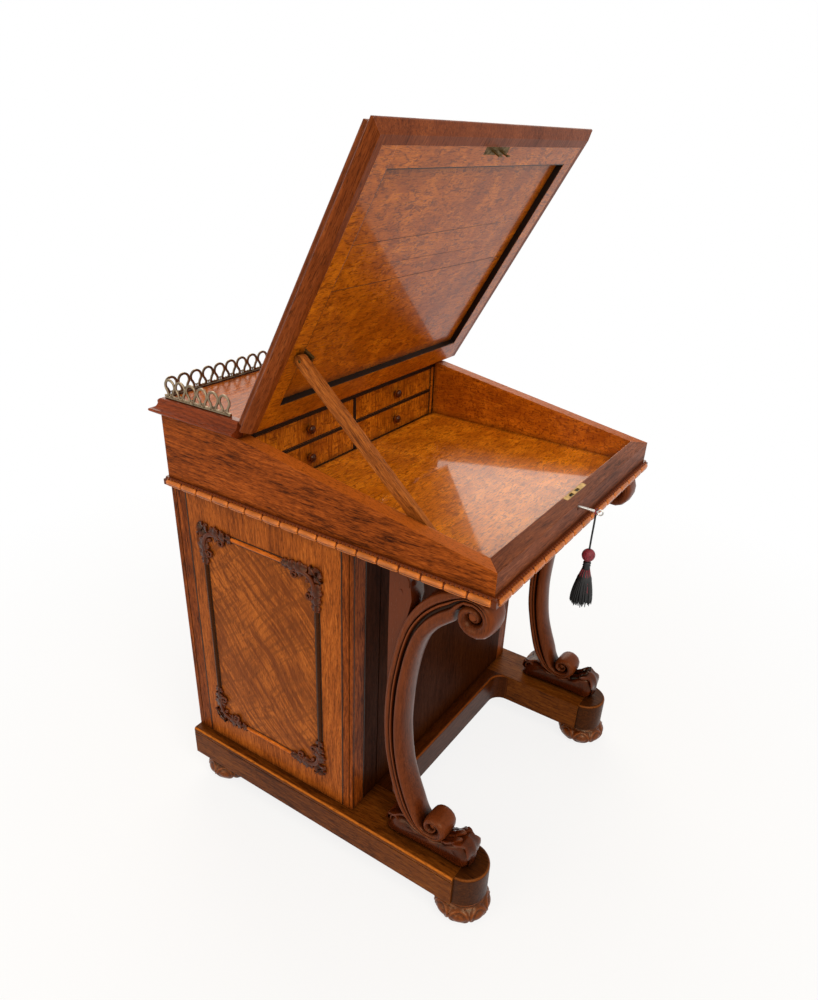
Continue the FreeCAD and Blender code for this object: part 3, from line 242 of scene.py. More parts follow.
def leaf(bm, spine, side, width, cup, lobes, thick, rib=1.2 * MM, long_steps=22, wide_steps=10):
    """A carved leaf along a spine, with lobed edges, a middle rib and hollows beside it."""
    side = Vector(side).normalized()
    old = set(bm.verts)
    grid = bmesh.ops.create_grid(bm, x_segments=long_steps, y_segments=wide_steps, size=1.0)["verts"]
    fine = smooth_path(spine, 60)
    for vert in grid:
        t = min(max((vert.co.x + 1) / 2, 0), 1)
        s = vert.co.y
        at = t * 59
        i = min(int(at), 58)
        point = fine[i].lerp(fine[i + 1], at - i)
        ahead = (fine[i + 1] - fine[i]).normalized()
        out = side.cross(ahead).normalized()
        reach = width * (math.sin(math.pi * (0.12 + 0.88 * t)) ** 0.7 if t < 1 else 0.0)
        reach *= 1 + 0.2 * math.sin(2 * math.pi * lobes * t) * abs(s) ** 2
        lift = cup * width * (1 - s * s) + rib * math.exp(-(s / 0.13) ** 2)
        lift -= 0.7 * rib * math.exp(-((abs(s) - 0.5) / 0.14) ** 2)
        lift += 0.5 * rib * math.sin(2 * math.pi * lobes * t) * abs(s)
        vert.co = point + side * (s * reach) + out * lift
    faces = list({face for vert in grid for face in vert.link_faces})
    bmesh.ops.solidify(bm, geom=faces, thickness=thick)
    return [vert for vert in bm.verts if vert not in old]


def placed(name, data):
    """A new object in the scene."""
    item = bpy.data.objects.new(name, data)
    bpy.context.scene.collection.objects.link(item)
    return item


def seated(item, finish_name, body, replaces):
    """Gives an object its finish and its body, and hides the frame's nodes that it stands for."""
    item.data.materials.append(finish(finish_name))
    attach(item, body)
    if replaces:
        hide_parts(*replaces)
    return item


def piece(name, bm, finish_name, body, replaces=(), smooth=38):
    """Makes one finished object from a bmesh, at the origin, riding on its body."""
    bmesh.ops.remove_doubles(bm, verts=bm.verts, dist=2e-6)
    bmesh.ops.dissolve_degenerate(bm, edges=bm.edges, dist=1e-7)
    bmesh.ops.recalc_face_normals(bm, faces=bm.faces)
    mesh = bpy.data.meshes.new(name)
    bm.to_mesh(mesh)
    bm.free()
    mesh.shade_smooth()
    mesh.set_sharp_from_angle(angle=math.radians(smooth))
    return seated(placed(name, mesh), finish_name, body, replaces)


def bars_piece(name, bars, finish_name, body, place=Matrix.Identity(4)):
    """One piece of straight bars, each given by two opposite corners."""
    bm = bmesh.new()
    for low, high in bars:
        grown_box(bm, low, high)
    bmesh.ops.transform(bm, matrix=place, verts=bm.verts)
    return piece(name, bm, finish_name, body, (), 30)


def rim(a0, a1, b0, b1, wide):
    """Corners of the four strips that frame a rectangle from inside."""
    return (((a0, b0), (a1, b0 + wide)), ((a0, b1 - wide), (a1, b1)), ((a0, b0), (a0 + wide, b1)),
            ((a1 - wide, b0), (a1, b1)))


# ---- finishes ----
class Nodes:
    """A node tree under construction."""

    def __init__(self, tree):
        self.tree = tree
        tree.nodes.clear()

    def add(self, kind, settings=None, **inputs):
        node = self.tree.nodes.new("ShaderNode" + kind)
        for key, value in (settings or {}).items():
            setattr(node, key, value)
        for key, value in inputs.items():
            self.put(node, key.replace("_", " "), value)
        return node

    def put(self, node, key, value):
        """Links or sets one input, given by its name or as i and its number."""
        socket = node.inputs[int(key[1:])] if key[:1] == "i" and key[1:].isdigit() else node.inputs[key]
        if isinstance(value, bpy.types.NodeSocket):
            self.tree.links.new(value, socket)
        else:
            socket.default_value = value

    def puts(self, node, values):
        for number, value in enumerate(values):
            self.put(node, "i%d" % number, value)

    def math(self, operation, *values):
        node = self.add("Math", {"operation": operation})
        self.puts(node, values)
        return node.outputs[0]

    def vector(self, operation, *values, out=0):
        node = self.add("VectorMath", {"operation": operation})
        self.puts(node, values)
        return node.outputs[out]

    def seen(self):
        """1 where the camera looks, also by way of a polished or clear surface."""
        path = self.add("LightPath").outputs
        direct = self.math("MAXIMUM", path["Is Camera Ray"], path["Is Transmission Ray"])
        return self.math("MAXIMUM", direct, path["Is Glossy Ray"])


class Finish(Nodes):
    """A material under construction."""

    def __init__(self, name):
        self.material = bpy.data.materials.new(name)
        self.material.use_nodes = True
        super().__init__(self.material.node_tree)
        self.shader = self.add("BsdfPrincipled")
        self.output = self.add("OutputMaterial", Surface=self.shader.outputs[0])
        self.coords = self.add("TexCoord").outputs["Object"]

    def lying(self, turn, wander=0.03):
        """Coordinates turned so that the grain runs along X, with a slow wander across it."""
        lie = self.add("Mapping", Vector=self.coords, Rotation=turn).outputs[0]
        drift = self.add("TexNoise", Vector=lie, Scale=3.0, Detail=2.0).outputs["Color"]
        drift = self.vector("SUBTRACT", drift, (0.5, 0.5, 0.5))
        return self.vector("MULTIPLY_ADD", drift, (0.0, wander, wander), lie)

    def stretched(self, vector, along, across):
        return self.add("Mapping", Vector=vector, Scale=(along, across, across)).outputs[0]

    def noise(self, vector, scale, detail=4.0, rough=0.55, distortion=0.0):
        return self.add("TexNoise", Vector=vector, Scale=scale, Detail=detail, Roughness=rough,
                        Distortion=distortion).outputs["Fac"]

    def ramp(self, factor, stops):
        node = self.add("ValToRGB", Fac=factor)
        marks = node.color_ramp.elements
        while len(marks) < len(stops):
            marks.new(0.5)
        for mark, (place, value) in zip(marks, stops):
            mark.position = place
            mark.color = (*value, 1)
        return node.outputs[0]

    def steps(self, factor, low, high, dark=0.0, light=1.0):
        """Goes from dark to light as the factor goes from low to high."""
        node = self.add("MapRange", {"clamp": True})
        self.puts(node, (factor, low, high, dark, light))
        return node.outputs[0]

    def mix(self, factor, a, b):
        node = self.add("Mix", {"data_type": "RGBA"})
        for key, value in (("i0", factor), ("i6", a), ("i7", b)):
            self.put(node, key, (*value, 1) if isinstance(value, tuple) else value)
        return node.outputs[2]

    def surface(self, **inputs):
        for key, value in inputs.items():
            self.put(self.shader, key.replace("_", " "), value)

    def bump(self, height, strength, distance, normal=None):
        node = self.add("Bump", Height=height, Strength=strength, Distance=distance)
        if normal:
            self.put(node, "Normal", normal)
        self.surface(Normal=node.outputs[0])

    def rounded(self, radius):
        """Normal of the softly rounded edges, and a mask of where they are."""
        soft = self.add("Bevel", {"samples": 4}, Radius=radius).outputs[0]
        plain = self.add("NewGeometry").outputs["Normal"]
        return soft, self.steps(self.vector("DOT_PRODUCT", soft, plain, out="Value"), 0.9, 0.99, 1.0, 0.0)

    def upward(self):
        """How far the face looks up, from -1 to 1."""
        return self.add("SeparateXYZ", Vector=self.add("NewGeometry").outputs["Normal"]).outputs[2]

    def within(self, low, high):
        """Mask of a box in the object's coordinates; None leaves an axis free."""
        parts = self.add("SeparateXYZ", Vector=self.coords).outputs
        mask = 1.0
        for axis in range(3):
            if low[axis] is not None:
                mask = self.math("MULTIPLY", mask, self.math("GREATER_THAN", parts[axis], low[axis]))
                mask = self.math("MULTIPLY", mask, self.math("LESS_THAN", parts[axis], high[axis]))
        return mask


def warm(tone, red, green, blue):
    """The tone with its red, green and blue each changed, and no brighter than white."""
    return (min(1.0, tone[0] * red), min(1.0, tone[1] * green), min(1.0, tone[2] * blue))


def toned(tone, share, green=1.0, blue=1.0):
    """The tone made darker or lighter, with its green and blue changed further."""
    return warm(tone, share, share * green, share * blue)


def tone_of(source):
    return tuple(getattr(bpy.context.scene.desk_colours, source))


def sloping(degrees):
    """Turn for grain that rises towards the back at an angle in the side view."""
    return (-math.radians(degrees), 0.0, math.pi / 2)


ALONG = (0.0, 0.0, 0.0)
UPRIGHT = (0.0, math.pi / 2, 0.0)
DEEP = (0.0, 0.0, math.pi / 2)
SLANT = sloping(52)
CROSS_SLANT = sloping(142)
LID_WAY = sloping(SLOPE_DEG - LID_OPEN_DEG)
PROP_WAY = sloping(41.6)
POLISH_TINT = (1.0, 0.78, 0.52, 1)
EDGE_RADIUS = 1.1 * MM
EDGE_WEAR_AND_HIGHLIGHT = 0.55
CREVICE_REACH = 14 * MM


def wood(name, tone, turn, contrast, figure, rough, gloss, coat=0.0, carved=False):
    """Polished wood whose grain runs along the turned X axis, with painted shade in its hollows; plain pieces
    get lighter edges that are partly wear and partly painted highlight, carved ones painted highlights on
    their ridges.
    """
    f = Finish(name)
    lie = f.lying(turn)
    broad = f.noise(f.stretched(lie, 3.0, 18.0), 1.0, 4.0, 0.6)
    streak = f.noise(f.stretched(lie, 20.0, 250.0), 1.0, 6.0, 0.7)
    fibre = f.noise(f.stretched(lie, 80.0, 760.0), 1.0, 3.0)
    pores = f.noise(f.stretched(lie, 95.0, 900.0), 1.0, 2.0)
    factor = f.math("ADD", f.math("MULTIPLY", broad, 0.28), f.math("MULTIPLY", streak, 0.46))
    factor = f.math("ADD", factor, f.math("MULTIPLY", fibre, 0.26))
    dark = toned(tone, max(0.1, 1 - 0.68 * contrast), 0.85, 0.8)
    deep = toned(tone, max(0.2, 1 - 0.3 * contrast), 0.95, 0.9)
    light = toned(tone, 1 + 0.42 * contrast, 1.16, 1.3)
    base = f.ramp(factor, [(0.40, dark), (0.465, deep), (0.53, tone), (0.62, light)])
    if figure:
        base = figure(f, base, tone)
    base = f.mix(f.steps(pores, 0.37, 0.44, 0.62, 0.0), base, toned(tone, 0.16))
    # Painted shade: the colour darkens in hollows and under parts, by how enclosed each point is.
    shadowed = f.add("AmbientOcclusion", {"samples": 4}, Distance=CREVICE_REACH).outputs["AO"]
    base = f.mix(f.steps(shadowed, 0.3, 0.92, 0.8, 0.0), base, toned(tone, 0.1))
    edge = None
    if carved:
        # Carved pieces: painted shade in the hollows and a painted highlight on the ridges, both from the
        # shape's pointiness.
        point = f.add("NewGeometry").outputs["Pointiness"]
        base = f.mix(f.steps(point, 0.42, 0.497, 1.0, 0.0), base, toned(tone, 0.06))
        base = f.mix(f.steps(point, 0.505, 0.58, 0.0, 0.6), base, toned(tone, 2.6, 1.15, 1.2))
    else:
        # Plain pieces: lighter colour along the rounded edges, partly wear and partly a painted highlight.
        edge, mask = f.rounded(EDGE_RADIUS)
        rubbed_and_highlit = f.math("MULTIPLY", mask, f.steps(broad, 0.38, 0.6, 0.25 * EDGE_WEAR_AND_HIGHLIGHT, EDGE_WEAR_AND_HIGHLIGHT))
        base = f.mix(rubbed_and_highlit, base, toned(tone, 2.1, 1.12, 1.3))
    f.surface(Base_Color=base, Roughness=f.steps(factor, 0.4, 0.62, rough * 1.2, rough * 0.85),
              Specular_IOR_Level=gloss, Specular_Tint=POLISH_TINT, Coat_Weight=coat, Coat_Roughness=0.07)
    f.bump(pores, 0.1, 0.4 * MM, edge)
    return f.material


def feather(f, base, tone):
    """Crotch figure inside the panel's bead frame: slanting dark rays with fine cross ripples."""
    low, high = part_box("side_bead_frame")
    rays = f.noise(f.stretched(f.lying(SLANT, 0.12), 7.0, 160.0), 1.0, 6.0, 0.7)
    cross = f.noise(f.stretched(f.lying(CROSS_SLANT, 0.1), 12.0, 150.0), 1.0, 4.0, 0.6)
    cloud = f.noise(f.coords, 6.0, 3.0, 0.55, 0.8)
    inner = f.mix(f.steps(cloud, 0.4, 0.62), toned(tone, 0.7), toned(tone, 1.25, 1.12, 1.2))
    inner = f.mix(f.steps(rays, 0.47, 0.58, 0.0, 0.9), inner, toned(tone, 0.36, 0.85, 0.8))
    inner = f.mix(f.steps(rays, 0.34, 0.46, 0.6, 0.0), inner, toned(tone, 1.7, 1.15, 1.3))
    inner = f.mix(f.steps(cross, 0.5, 0.6, 0.0, 0.6), inner, toned(tone, 0.4))
    mask = f.within((None, low.y, low.z), (None, high.y, high.z))
    return f.mix(f.math("MULTIPLY", mask, 0.85), base, inner)


def dark_uprights(f, base, tone):
    """The bead frame's upright bars are nearly black."""
    low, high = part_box("side_bead_frame")
    between = f.within((None, low.y + BEAD_BAR, None), (None, high.y - BEAD_BAR, None))
    return f.mix(between, toned(tone, 0.05), base)


def painted_light_on_upward_faces(f, base, tone):
    """Painted light: the upward faces are coloured lighter, as where light falls from above."""
    return f.mix(f.steps(f.upward(), 0.8, 0.95, 0.0, 0.6), base, toned(tone, 1.9, 1.15, 1.2))


def painted_highlight_on_top_edges(f, base, tone):
    """Painted highlight along the rounded top edges, where the faces look partly up."""
    up = f.upward()
    edge = f.math("MULTIPLY", f.steps(up, 0.2, 0.5), f.steps(up, 0.8, 0.97, 1.0, 0.0))
    return f.mix(f.math("MULTIPLY", edge, 0.75), base, toned(tone, 4.0, 1.1, 1.1))


def birds_eye(f, base, tone):
    """Small dark eyes and short dashes in a soft rippled ground."""
    cells = f.add("TexVoronoi", {"feature": "F1"}, Vector=f.coords, Scale=120.0, Randomness=1.0)
    patch = f.noise(f.coords, 20.0, 3.0)
    eye = f.steps(cells.outputs["Distance"], 0.14, 0.34, 1.0, 0.0)
    eye = f.math("MULTIPLY", eye, f.steps(patch, 0.46, 0.56, 0.0, 0.85))
    cloud = f.noise(f.coords, 22.0, 6.0, 0.66, 0.9)
    dash = f.noise(f.stretched(f.coords, 55.0, 170.0), 1.0, 3.0, 0.6, 0.8)
    base = f.mix(f.steps(cloud, 0.38, 0.54, 0.7, 0.0), base, toned(tone, 0.6, 0.82, 0.7))
    base = f.mix(f.steps(cloud, 0.54, 0.68, 0.0, 0.55), base, toned(tone, 1.4, 1.12, 1.3))
    base = f.mix(f.steps(dash, 0.54, 0.62, 0.0, 0.8), base, toned(tone, 0.38, 0.8, 0.6))
    return f.mix(eye, base, toned(tone, 0.36, 0.8, 0.6))


def walnut_outside(f, base, tone):
    """Maple inside, and walnut on the writing face of the lid."""
    place = lid_matrix()
    from_hinge = f.vector("SUBTRACT", f.coords, tuple(place.translation))
    deep = f.vector("DOT_PRODUCT", from_hinge, tuple(place.col[2][:3]), out="Value")
    walnut = f.mix(0.5, base, toned(tone_of("walnut"), 0.45))
    return f.mix(f.math("LESS_THAN", deep, FACE_VENEER), birds_eye(f, base, tone), walnut)


def metal(name, tone, rough, dull, grime, scale):
    """Worn metal; dull darkens the tone where the grime lies."""
    f = Finish(name)
    cloud = f.noise(f.coords, scale, 5.0, 0.6)
    base = f.mix(f.steps(cloud, 0.42, 0.68, 0.0, grime), tone, toned(tone, dull))
    f.surface(Base_Color=base, Metallic=1.0, Roughness=f.steps(cloud, 0.35, 0.7, rough, rough + 0.25))
    f.bump(cloud, 0.15, 0.3 * MM)
    return f.material


def silk(name, tone, sheen):
    f = Finish(name)
    thread = f.noise(f.add("Mapping", Vector=f.coords, Scale=(900.0, 900.0, 120.0)).outputs[0], 1.0, 3.0)
    base = f.mix(f.steps(thread, 0.35, 0.7), toned(tone, 0.45), toned(tone, 1.7))
    f.surface(Base_Color=base, Roughness=0.55, Sheen_Weight=sheen, Sheen_Roughness=0.4)
    f.bump(thread, 0.4, 0.4 * MM)
    return f.material


def leather(name, tone):
    f = Finish(name)
    grain = f.add("TexVoronoi", {"feature": "F1"}, Vector=f.coords, Scale=900.0).outputs["Distance"]
    worn = f.noise(f.coords, 9.0, 5.0, 0.6)
    base = f.mix(f.steps(worn, 0.45, 0.7, 0.0, 0.6), tone, toned(tone, 1.9))
    f.surface(Base_Color=base, Roughness=0.48)
    f.bump(grain, 0.3, 0.4 * MM)
    return f.material


def floor_finish(name):
    """Pale floor that the camera sees nearly white, with the shadow kept."""
    f = Finish(name)
    f.surface(Base_Color=(0.86, 0.86, 0.86, 1), Roughness=0.9)
    glow = f.add("Emission", Color=(1, 1, 1, 1), Strength=1.0)
    away = f.vector("LENGTH", f.coords, out="Value")
    share = f.math("MULTIPLY", f.seen(), f.steps(away, 0.5, 1.6, 0.82, 1.0))
    blend = f.add("MixShader")
    f.puts(blend, (share, f.shader.outputs[0], glow.outputs[0]))
    f.put(f.output, "Surface", blend.outputs[0])
    return f.material


SAME = (1, 1, 1)
# finish: colour, shares of its red, green and blue, lie of the grain, contrast, figure, roughness, gloss,
# coat of polish, and whether it is carved
WOODS = {
    "walnut_across": ("walnut", SAME, ALONG, 1.35, None, 0.4, 0.06),
    "walnut_front": ("walnut", (0.66, 0.76, 1.5), ALONG, 1.1, None, 0.4, 0.06),
    "walnut_deep": ("walnut", SAME, DEEP, 1.35, painted_light_on_upward_faces, 0.4, 0.06),
    "walnut_upright": ("walnut", (0.8, 0.8, 0.8), UPRIGHT, 1.5, None, 0.4, 0.06),
    "walnut_sloping": ("walnut", (1.15, 1.5, 1.9), PROP_WAY, 1.0, None, 0.36, 0.12),
    # Kneehole panel: the case walnut darkened far down, as painted shade of the deep kneehole.
    "walnut_shaded": ("walnut", (0.13, 0.13, 0.13), UPRIGHT, 0.8, None, 0.5, 0.02),
    "runner_walnut": ("walnut", (0.52, 0.64, 0.6), DEEP, 1.1, painted_highlight_on_top_edges, 0.34, 0.06),
    "base_walnut": ("walnut", (0.2, 0.24, 0.33), DEEP, 1.1, painted_highlight_on_top_edges, 0.34, 0.08),
    # Base platform: dark walnut, partly a painted shade of the kneehole above it.
    "base_across": ("walnut", (0.2, 0.2, 0.2), ALONG, 0.9, painted_highlight_on_top_edges, 0.34, 0.06),
    "figured_panel": ("burr", (0.92, 0.92, 0.92), UPRIGHT, 1.0, feather, 0.34, 0.07),
    "bead_frame": ("walnut", (2.0, 2.3, 2.0), DEEP, 0.8, dark_uprights, 0.3, 0.1),
    "carved_walnut": ("carved", (0.78, 0.72, 0.6), UPRIGHT, 0.9, None, 0.3, 0.14, 0.0, True),
    "carved_dark": ("carved", (0.42, 0.31, 0.2), UPRIGHT, 0.8, None, 0.24, 0.2, 0.04, True),
    "carved_golden": ("walnut", (1.25, 1.5, 1.9), DEEP, 1.2, None, 0.24, 0.3, 0.08, True),
    "carved_foot": ("walnut", (0.45, 0.45, 0.45), DEEP, 0.8, None, 0.26, 0.3, 0.0, True),
    "mahogany_deep": ("mahogany", SAME, DEEP, 0.8, None, 0.3, 0.16),
    "lid_edge": ("mahogany", (0.8, 1.0, 0.9), LID_WAY, 0.8, None, 0.34, 0.1),
    "deck": ("mahogany", (2.3, 3.1, 1.2), ALONG, 0.9, None, 0.24, 0.04),
    "maple": ("maple", (1.08, 1.12, 1.0), ALONG, 0.5, birds_eye, 0.3, 0.1, 0.42),
    "maple_side": ("maple", (0.8, 0.7, 0.7), DEEP, 0.6, birds_eye, 0.3, 0.2, 0.2),
    "maple_front": ("maple", (0.8, 0.7, 0.7), ALONG, 0.6, birds_eye, 0.3, 0.2, 0.2),
    "maple_drawer": ("maple", (0.7, 0.66, 0.7), UPRIGHT, 1.3, birds_eye, 0.3, 0.1, 0.1),
    "maple_lid": ("maple", (0.68, 0.62, 0.5), ALONG, 0.5, birds_eye, 0.3, 0.1, 0.3),
    "maple_frame": ("maple", (0.68, 0.62, 0.5), ALONG, 0.5, walnut_outside, 0.3, 0.1, 0.3),
    "drawer_lining": ("lining", SAME, ALONG, 0.6, None, 0.6, 0.1),
    "ebonised": ("ebony", SAME, UPRIGHT, 0.5, None, 0.35, 0.2),
}
# finish: colour and its shares, roughness, dullness, amount of grime, and fineness of its spots
METALS = {
    "gilt": ("gilt", SAME, 0.45, 0.5, 0.7, 60.0),
    "brass": ("brass", SAME, 0.35, 0.5, 0.6, 160.0),
    "dark_brass": ("brass", (0.35, 0.35, 0.35), 0.45, 0.3, 0.9, 220.0),
    "steel": ("steel", SAME, 0.25, 0.6, 0.4, 160.0),
    "bronze": ("bronze", SAME, 0.3, 0.3, 0.75, 90.0),
}
SILKS = {"red_silk": ("red_silk", SAME, 0.12), "black_silk": ("black_silk", SAME, 0.0)}
MAKERS = ((wood, WOODS), (metal, METALS), (silk, SILKS), (leather, {"leather": ("leather", SAME)}))
MADE = {}


def finish(name):
    """The named finish, made the first time it is asked for."""
    if name not in MADE:
        label = "finish_" + name
        if name == "floor":
            MADE[name] = floor_finish(label)
        for maker, table in MAKERS:
            if name in table:
                source, shares, *rest = table[name]
                MADE[name] = maker(label, warm(tone_of(source), *shares), *rest)
    return MADE[name]


def numbered(name):
    """The names of the four drawers' pieces."""
    return [name % number for number in range(1, 5)]


FINISHED_NODES = {
    "base_across": ["base_platform"],
    "runner_walnut": ["runner_left", "runner_right"],
    "base_walnut": ["runner_toes"],
    "walnut_upright": ["pedestal_posts", "pedestal_back", "drawer_frame"],
    "walnut_shaded": ["kneehole_panel"],
    "walnut_deep": ["desk_left_side", "desk_right_side", *numbered("side_drawer_front_%d")],
    "walnut_front": ["desk_front"],
    "walnut_across": ["desk_back"],
    "walnut_sloping": ["lid_prop"],
    "figured_panel": ["pedestal_left_side"],
    "bead_frame": ["side_bead_frame"],
    "deck": ["rear_deck"],
    "mahogany_deep": ["deck_cornice"],
    "lid_edge": ["lid_moulding"],
    "maple": ["well_floor"],
    "maple_side": ["small_drawer_case"],
    "maple_drawer": numbered("small_drawer_%d"),
    "maple_frame": ["lid_frame"],
    "maple_lid": ["lid_panel"],
    "drawer_lining": ["pedestal_top", "drawer_runners", *numbered("side_drawer_box_%d")],
    "ebonised": ["small_drawer_dividers"],
    "leather": ["writing_leather"],
    "brass": ["lid_hinge_leaves", "deck_hinge_leaves", "hinge_pins", "lock_plate"],
    "dark_brass": ["link_plate", "prop_slide_shoe"],
    "steel": ["lock_case", "lock_bolt", "key"],
}
NODE_FINISH = {node: name for name, nodes in FINISHED_NODES.items() for node in nodes}


# ---- scroll supports; outlines are given as y and z in millimetres ----
HEAD = (34.0, 594.0)
HEAD_R = 34.0
ROLL = (70.5, 165.0)
ROLL_R = 27.5
WIND = 0.19
EYE_SHARE = 0.62
WIDEN = 0.028
STEM = (
    ((86, 139), (84, 152.5)), ((102, 145), (92, 160)), ((117, 156), (98, 174)), ((136, 181), (103, 193)),
    ((148, 215), (116, 226)), ((157.5, 252), (126, 258.5)), ((166, 295), (132, 298.5)),
    ((169, 339), (135, 339)), ((169, 382), (134, 380.5)), ((166, 426), (131, 421.5)),
    ((159, 470), (125, 462.5)), ((152, 505.5), (117.5, 495)), ((140.5, 545), (106, 525)),
    ((121.5, 580), (89, 549)), ((98, 606), (74, 563)), ((76, 621), (62, 575)), ((57, 627.5), (59, 592)),
    ((45, 628.5), (49, 608)),
)
BAND_SECTION = (
    (0.0, 0.0), (0.012, 0.3), (0.045, 0.55), (0.105, 0.76), (0.19, 0.91), (0.29, 0.985), (0.38, 1.0),
    (0.435, 0.97), (0.468, 0.88), (0.50, 0.70), (0.56, 0.68), (0.60, 0.82), (0.635, 0.92), (0.685, 0.92),
    (0.712, 0.80), (0.738, 0.90), (0.79, 0.99), (0.86, 1.0), (0.93, 0.98), (0.985, 0.88), (1.0, 0.7),
    (1.0, 0.0),
)
SCROLL_SECTION = (
    (0.0, 0.0), (0.01, 0.3), (0.04, 0.5), (0.09, 0.66), (0.16, 0.78), (0.24, 0.87), (0.32, 0.93),
    (0.38, 0.96), (0.43, 0.98), (0.48, 0.99), (0.53, 1.0), (0.58, 1.0), (0.63, 0.99), (0.68, 0.975),
    (0.73, 0.95), (0.78, 0.92), (0.83, 0.88), (0.88, 0.82), (0.93, 0.73), (0.98, 0.58), (1.01, 0.34),
    (1.03, 0.0),
)


def volute_radius(turn, start, hold):
    """Radius of a scroll after a turn in radians; it stays even up to hold and then winds in."""
    return start * math.exp(-WIND * max(0.0, turn - hold))


def volute_pair(centre, start, turn, hold, away):
    """Outer and inner points of the scrolled band; away gives its direction at that turn."""
    radius = volute_radius(turn, start, hold)
    inside = volute_radius(turn + 2 * math.pi, start, hold)
    y, z = away(turn)
    outer = (centre[0] + radius * y, centre[1] + radius * z)
    inner = (centre[0] + inside * y, centre[1] + inside * z)
    return outer, inner


def support_pairs():
    """Outer and inner contour points of the whole band, from the lower eye to the upper one."""
    step = math.radians(20)
    low = [volute_pair(ROLL, ROLL_R, math.radians(90) + k * step, math.radians(200),
                       lambda a: (math.cos(a), -math.sin(a))) for k in range(30)]
    high = [volute_pair(HEAD, HEAD_R, k * step, math.radians(150),
                        lambda a: (-math.sin(a), math.cos(a))) for k in range(29)]
    outer = smooth_path([(*pair[0], 0) for pair in STEM], 64)
    inner = smooth_path([(*pair[1], 0) for pair in STEM], 64)
    stem = [((a.x, a.y), (b.x, b.y)) for a, b in zip(outer, inner)]
    return low[::-1], stem, high


def support_place():
    """Middle and half width of the right-hand support, in millimetres."""
    low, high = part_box("scroll_support_right")
    return (low.x + high.x) / 2 / MM, (high.x - low.x) / 2 / MM


def band_section(past):
    """Half outline across the band; it grows from the fluted stem's into the plain scroll's."""
    fade = min(1.0, max(0.0, past / 9))
    pairs = zip(BAND_SECTION, SCROLL_SECTION)
    mixed = [(a[0] + (b[0] - a[0]) * fade, a[1] + (b[1] - a[1]) * fade) for a, b in pairs]
    return mixed + [(u, -w) for u, w in mixed[-2:0:-1]]


def support_band(bm, side):
    half = bpy.context.scene.desk_sizes.support_half / MM
    middle = support_place()[0]
    low, stem, high = support_pairs()
    rings = []
    count = len(low) + len(stem) + len(high)
    for index, (outer, inner) in enumerate(low + stem + high):
        from_eye = min(index, count - 1 - index)
        width = half * min(1.0, EYE_SHARE + WIDEN * from_eye)
        past = max(len(low) - index, index - len(low) - len(stem)) + 4
        ring = []
        for u, w in band_section(past):
            y = inner[0] + (outer[0] - inner[0]) * u
            z = inner[1] + (outer[1] - inner[1]) * u
            ring.append(desk(side * (middle + width * w), y, min(z, Z_BOX / MM)))
        rings.append(ring)
    loft(bm, rings)
    for centre, radius in ((HEAD, 8.5), (ROLL, 6.0)):
        near = [(0, -half * 0.66), (radius * 0.8, -half * 0.62), (radius, -half * 0.5)]
        eye = near + [(r, -h) for r, h in reversed(near)]
        place = Matrix.Translation(desk(side * middle, *centre)) @ Matrix.Rotation(math.pi / 2, 4, "Y")
        turned(bm, metres(eye), 16, place)


def side_spiral(bm, side, half, centre, radius, start, turns, taper=0.72):
    """A small rolled leaf end seen from the side; turns below 0 wind it the other way."""
    middle = support_place()[0]
    line = curl(centre, radius, taper, start, turns * 360, int(abs(turns) * 14))
    path = [desk(side * middle, y, z) for y, z in line]
    thick = radius * 0.3
    tube(bm, path, tapered(thick, thick / 2, len(path)), X_WAY, 8, half / thick)


FOOT_OUTLINE = (
    (7, 0), (148, 0), (157, 8), (152, 24), (136, 38), (106, 36), (70, 33), (46, 36), (28, 46), (10, 46),
    (0, 30), (0, 12),
)
FOOT_INSETS = (0.3, 0.17, 0.07, 0.01, -0.01, 0.01, 0.07, 0.17, 0.3)
FOOT_SHARES = (-1.0, -0.94, -0.8, -0.5, 0.0, 0.5, 0.8, 0.94, 1.0)
FOOT_HEART = (72, 20)


def support_foot(bm, side):
    """Leaf block that carries the lower roll, with its front leaves, spikes and rear curl."""
    middle, half = support_place()
    floor = Z_PED / MM
    back = Vector((-1, 0, 0))

    def block_leaf(place, points, width, *shape):
        leaf(bm, [desk(place, y, floor + z) for y, z in points], back, width * MM, *shape)

    outline = smooth_path([(y, z, 0) for y, z in FOOT_OUTLINE + FOOT_OUTLINE[:1]], 49)[:-1]
    rings = []
    for share, inset in zip(FOOT_SHARES, FOOT_INSETS):
        ring = []
        for point in outline:
            y = point.x + (FOOT_HEART[0] - point.x) * inset
            z = max(0.0, point.y + (FOOT_HEART[1] - point.y) * inset * 1.6)
            wave = 1 - 0.09 * math.cos(point.x / 7.0) * abs(share)
            ring.append(desk(side * (middle + share * half * 0.9 * wave), y, floor + z))
        rings.append(ring)
    loft(bm, rings)
    for drop, wide in ((0, 0.88), (1, 0.56)):
        spine = [(62, 32), (44, 39 + 5 * drop), (26, 52 - 3 * drop), (9, 54 - 5 * drop)]
        spine += [(-1, 40), (-2, 24), (2, 10), (9, 2)]
        block_leaf(side * middle, spine, half * wide, 0.12, 4, 4 * MM)
    for offset in (-0.5, 0.0, 0.5):
        spike = [(y, z - abs(offset) * 12) for y, z in ((50, 44), (36, 52), (25, 62), (15, 68))]
        block_leaf(side * (middle + offset * half), spike, half * 0.34, 0.3, 2, 4 * MM, MM, 14, 6)
    rear = [(98, 36), (122, 46), (142, 48), (156, 38), (161, 22), (156, 5)]
    block_leaf(side * middle, rear, half * 0.9, 0.1, 3, 4 * MM)
    side_spiral(bm, side, half * 0.92, (147, floor + 24), 15, 60, 1.2)


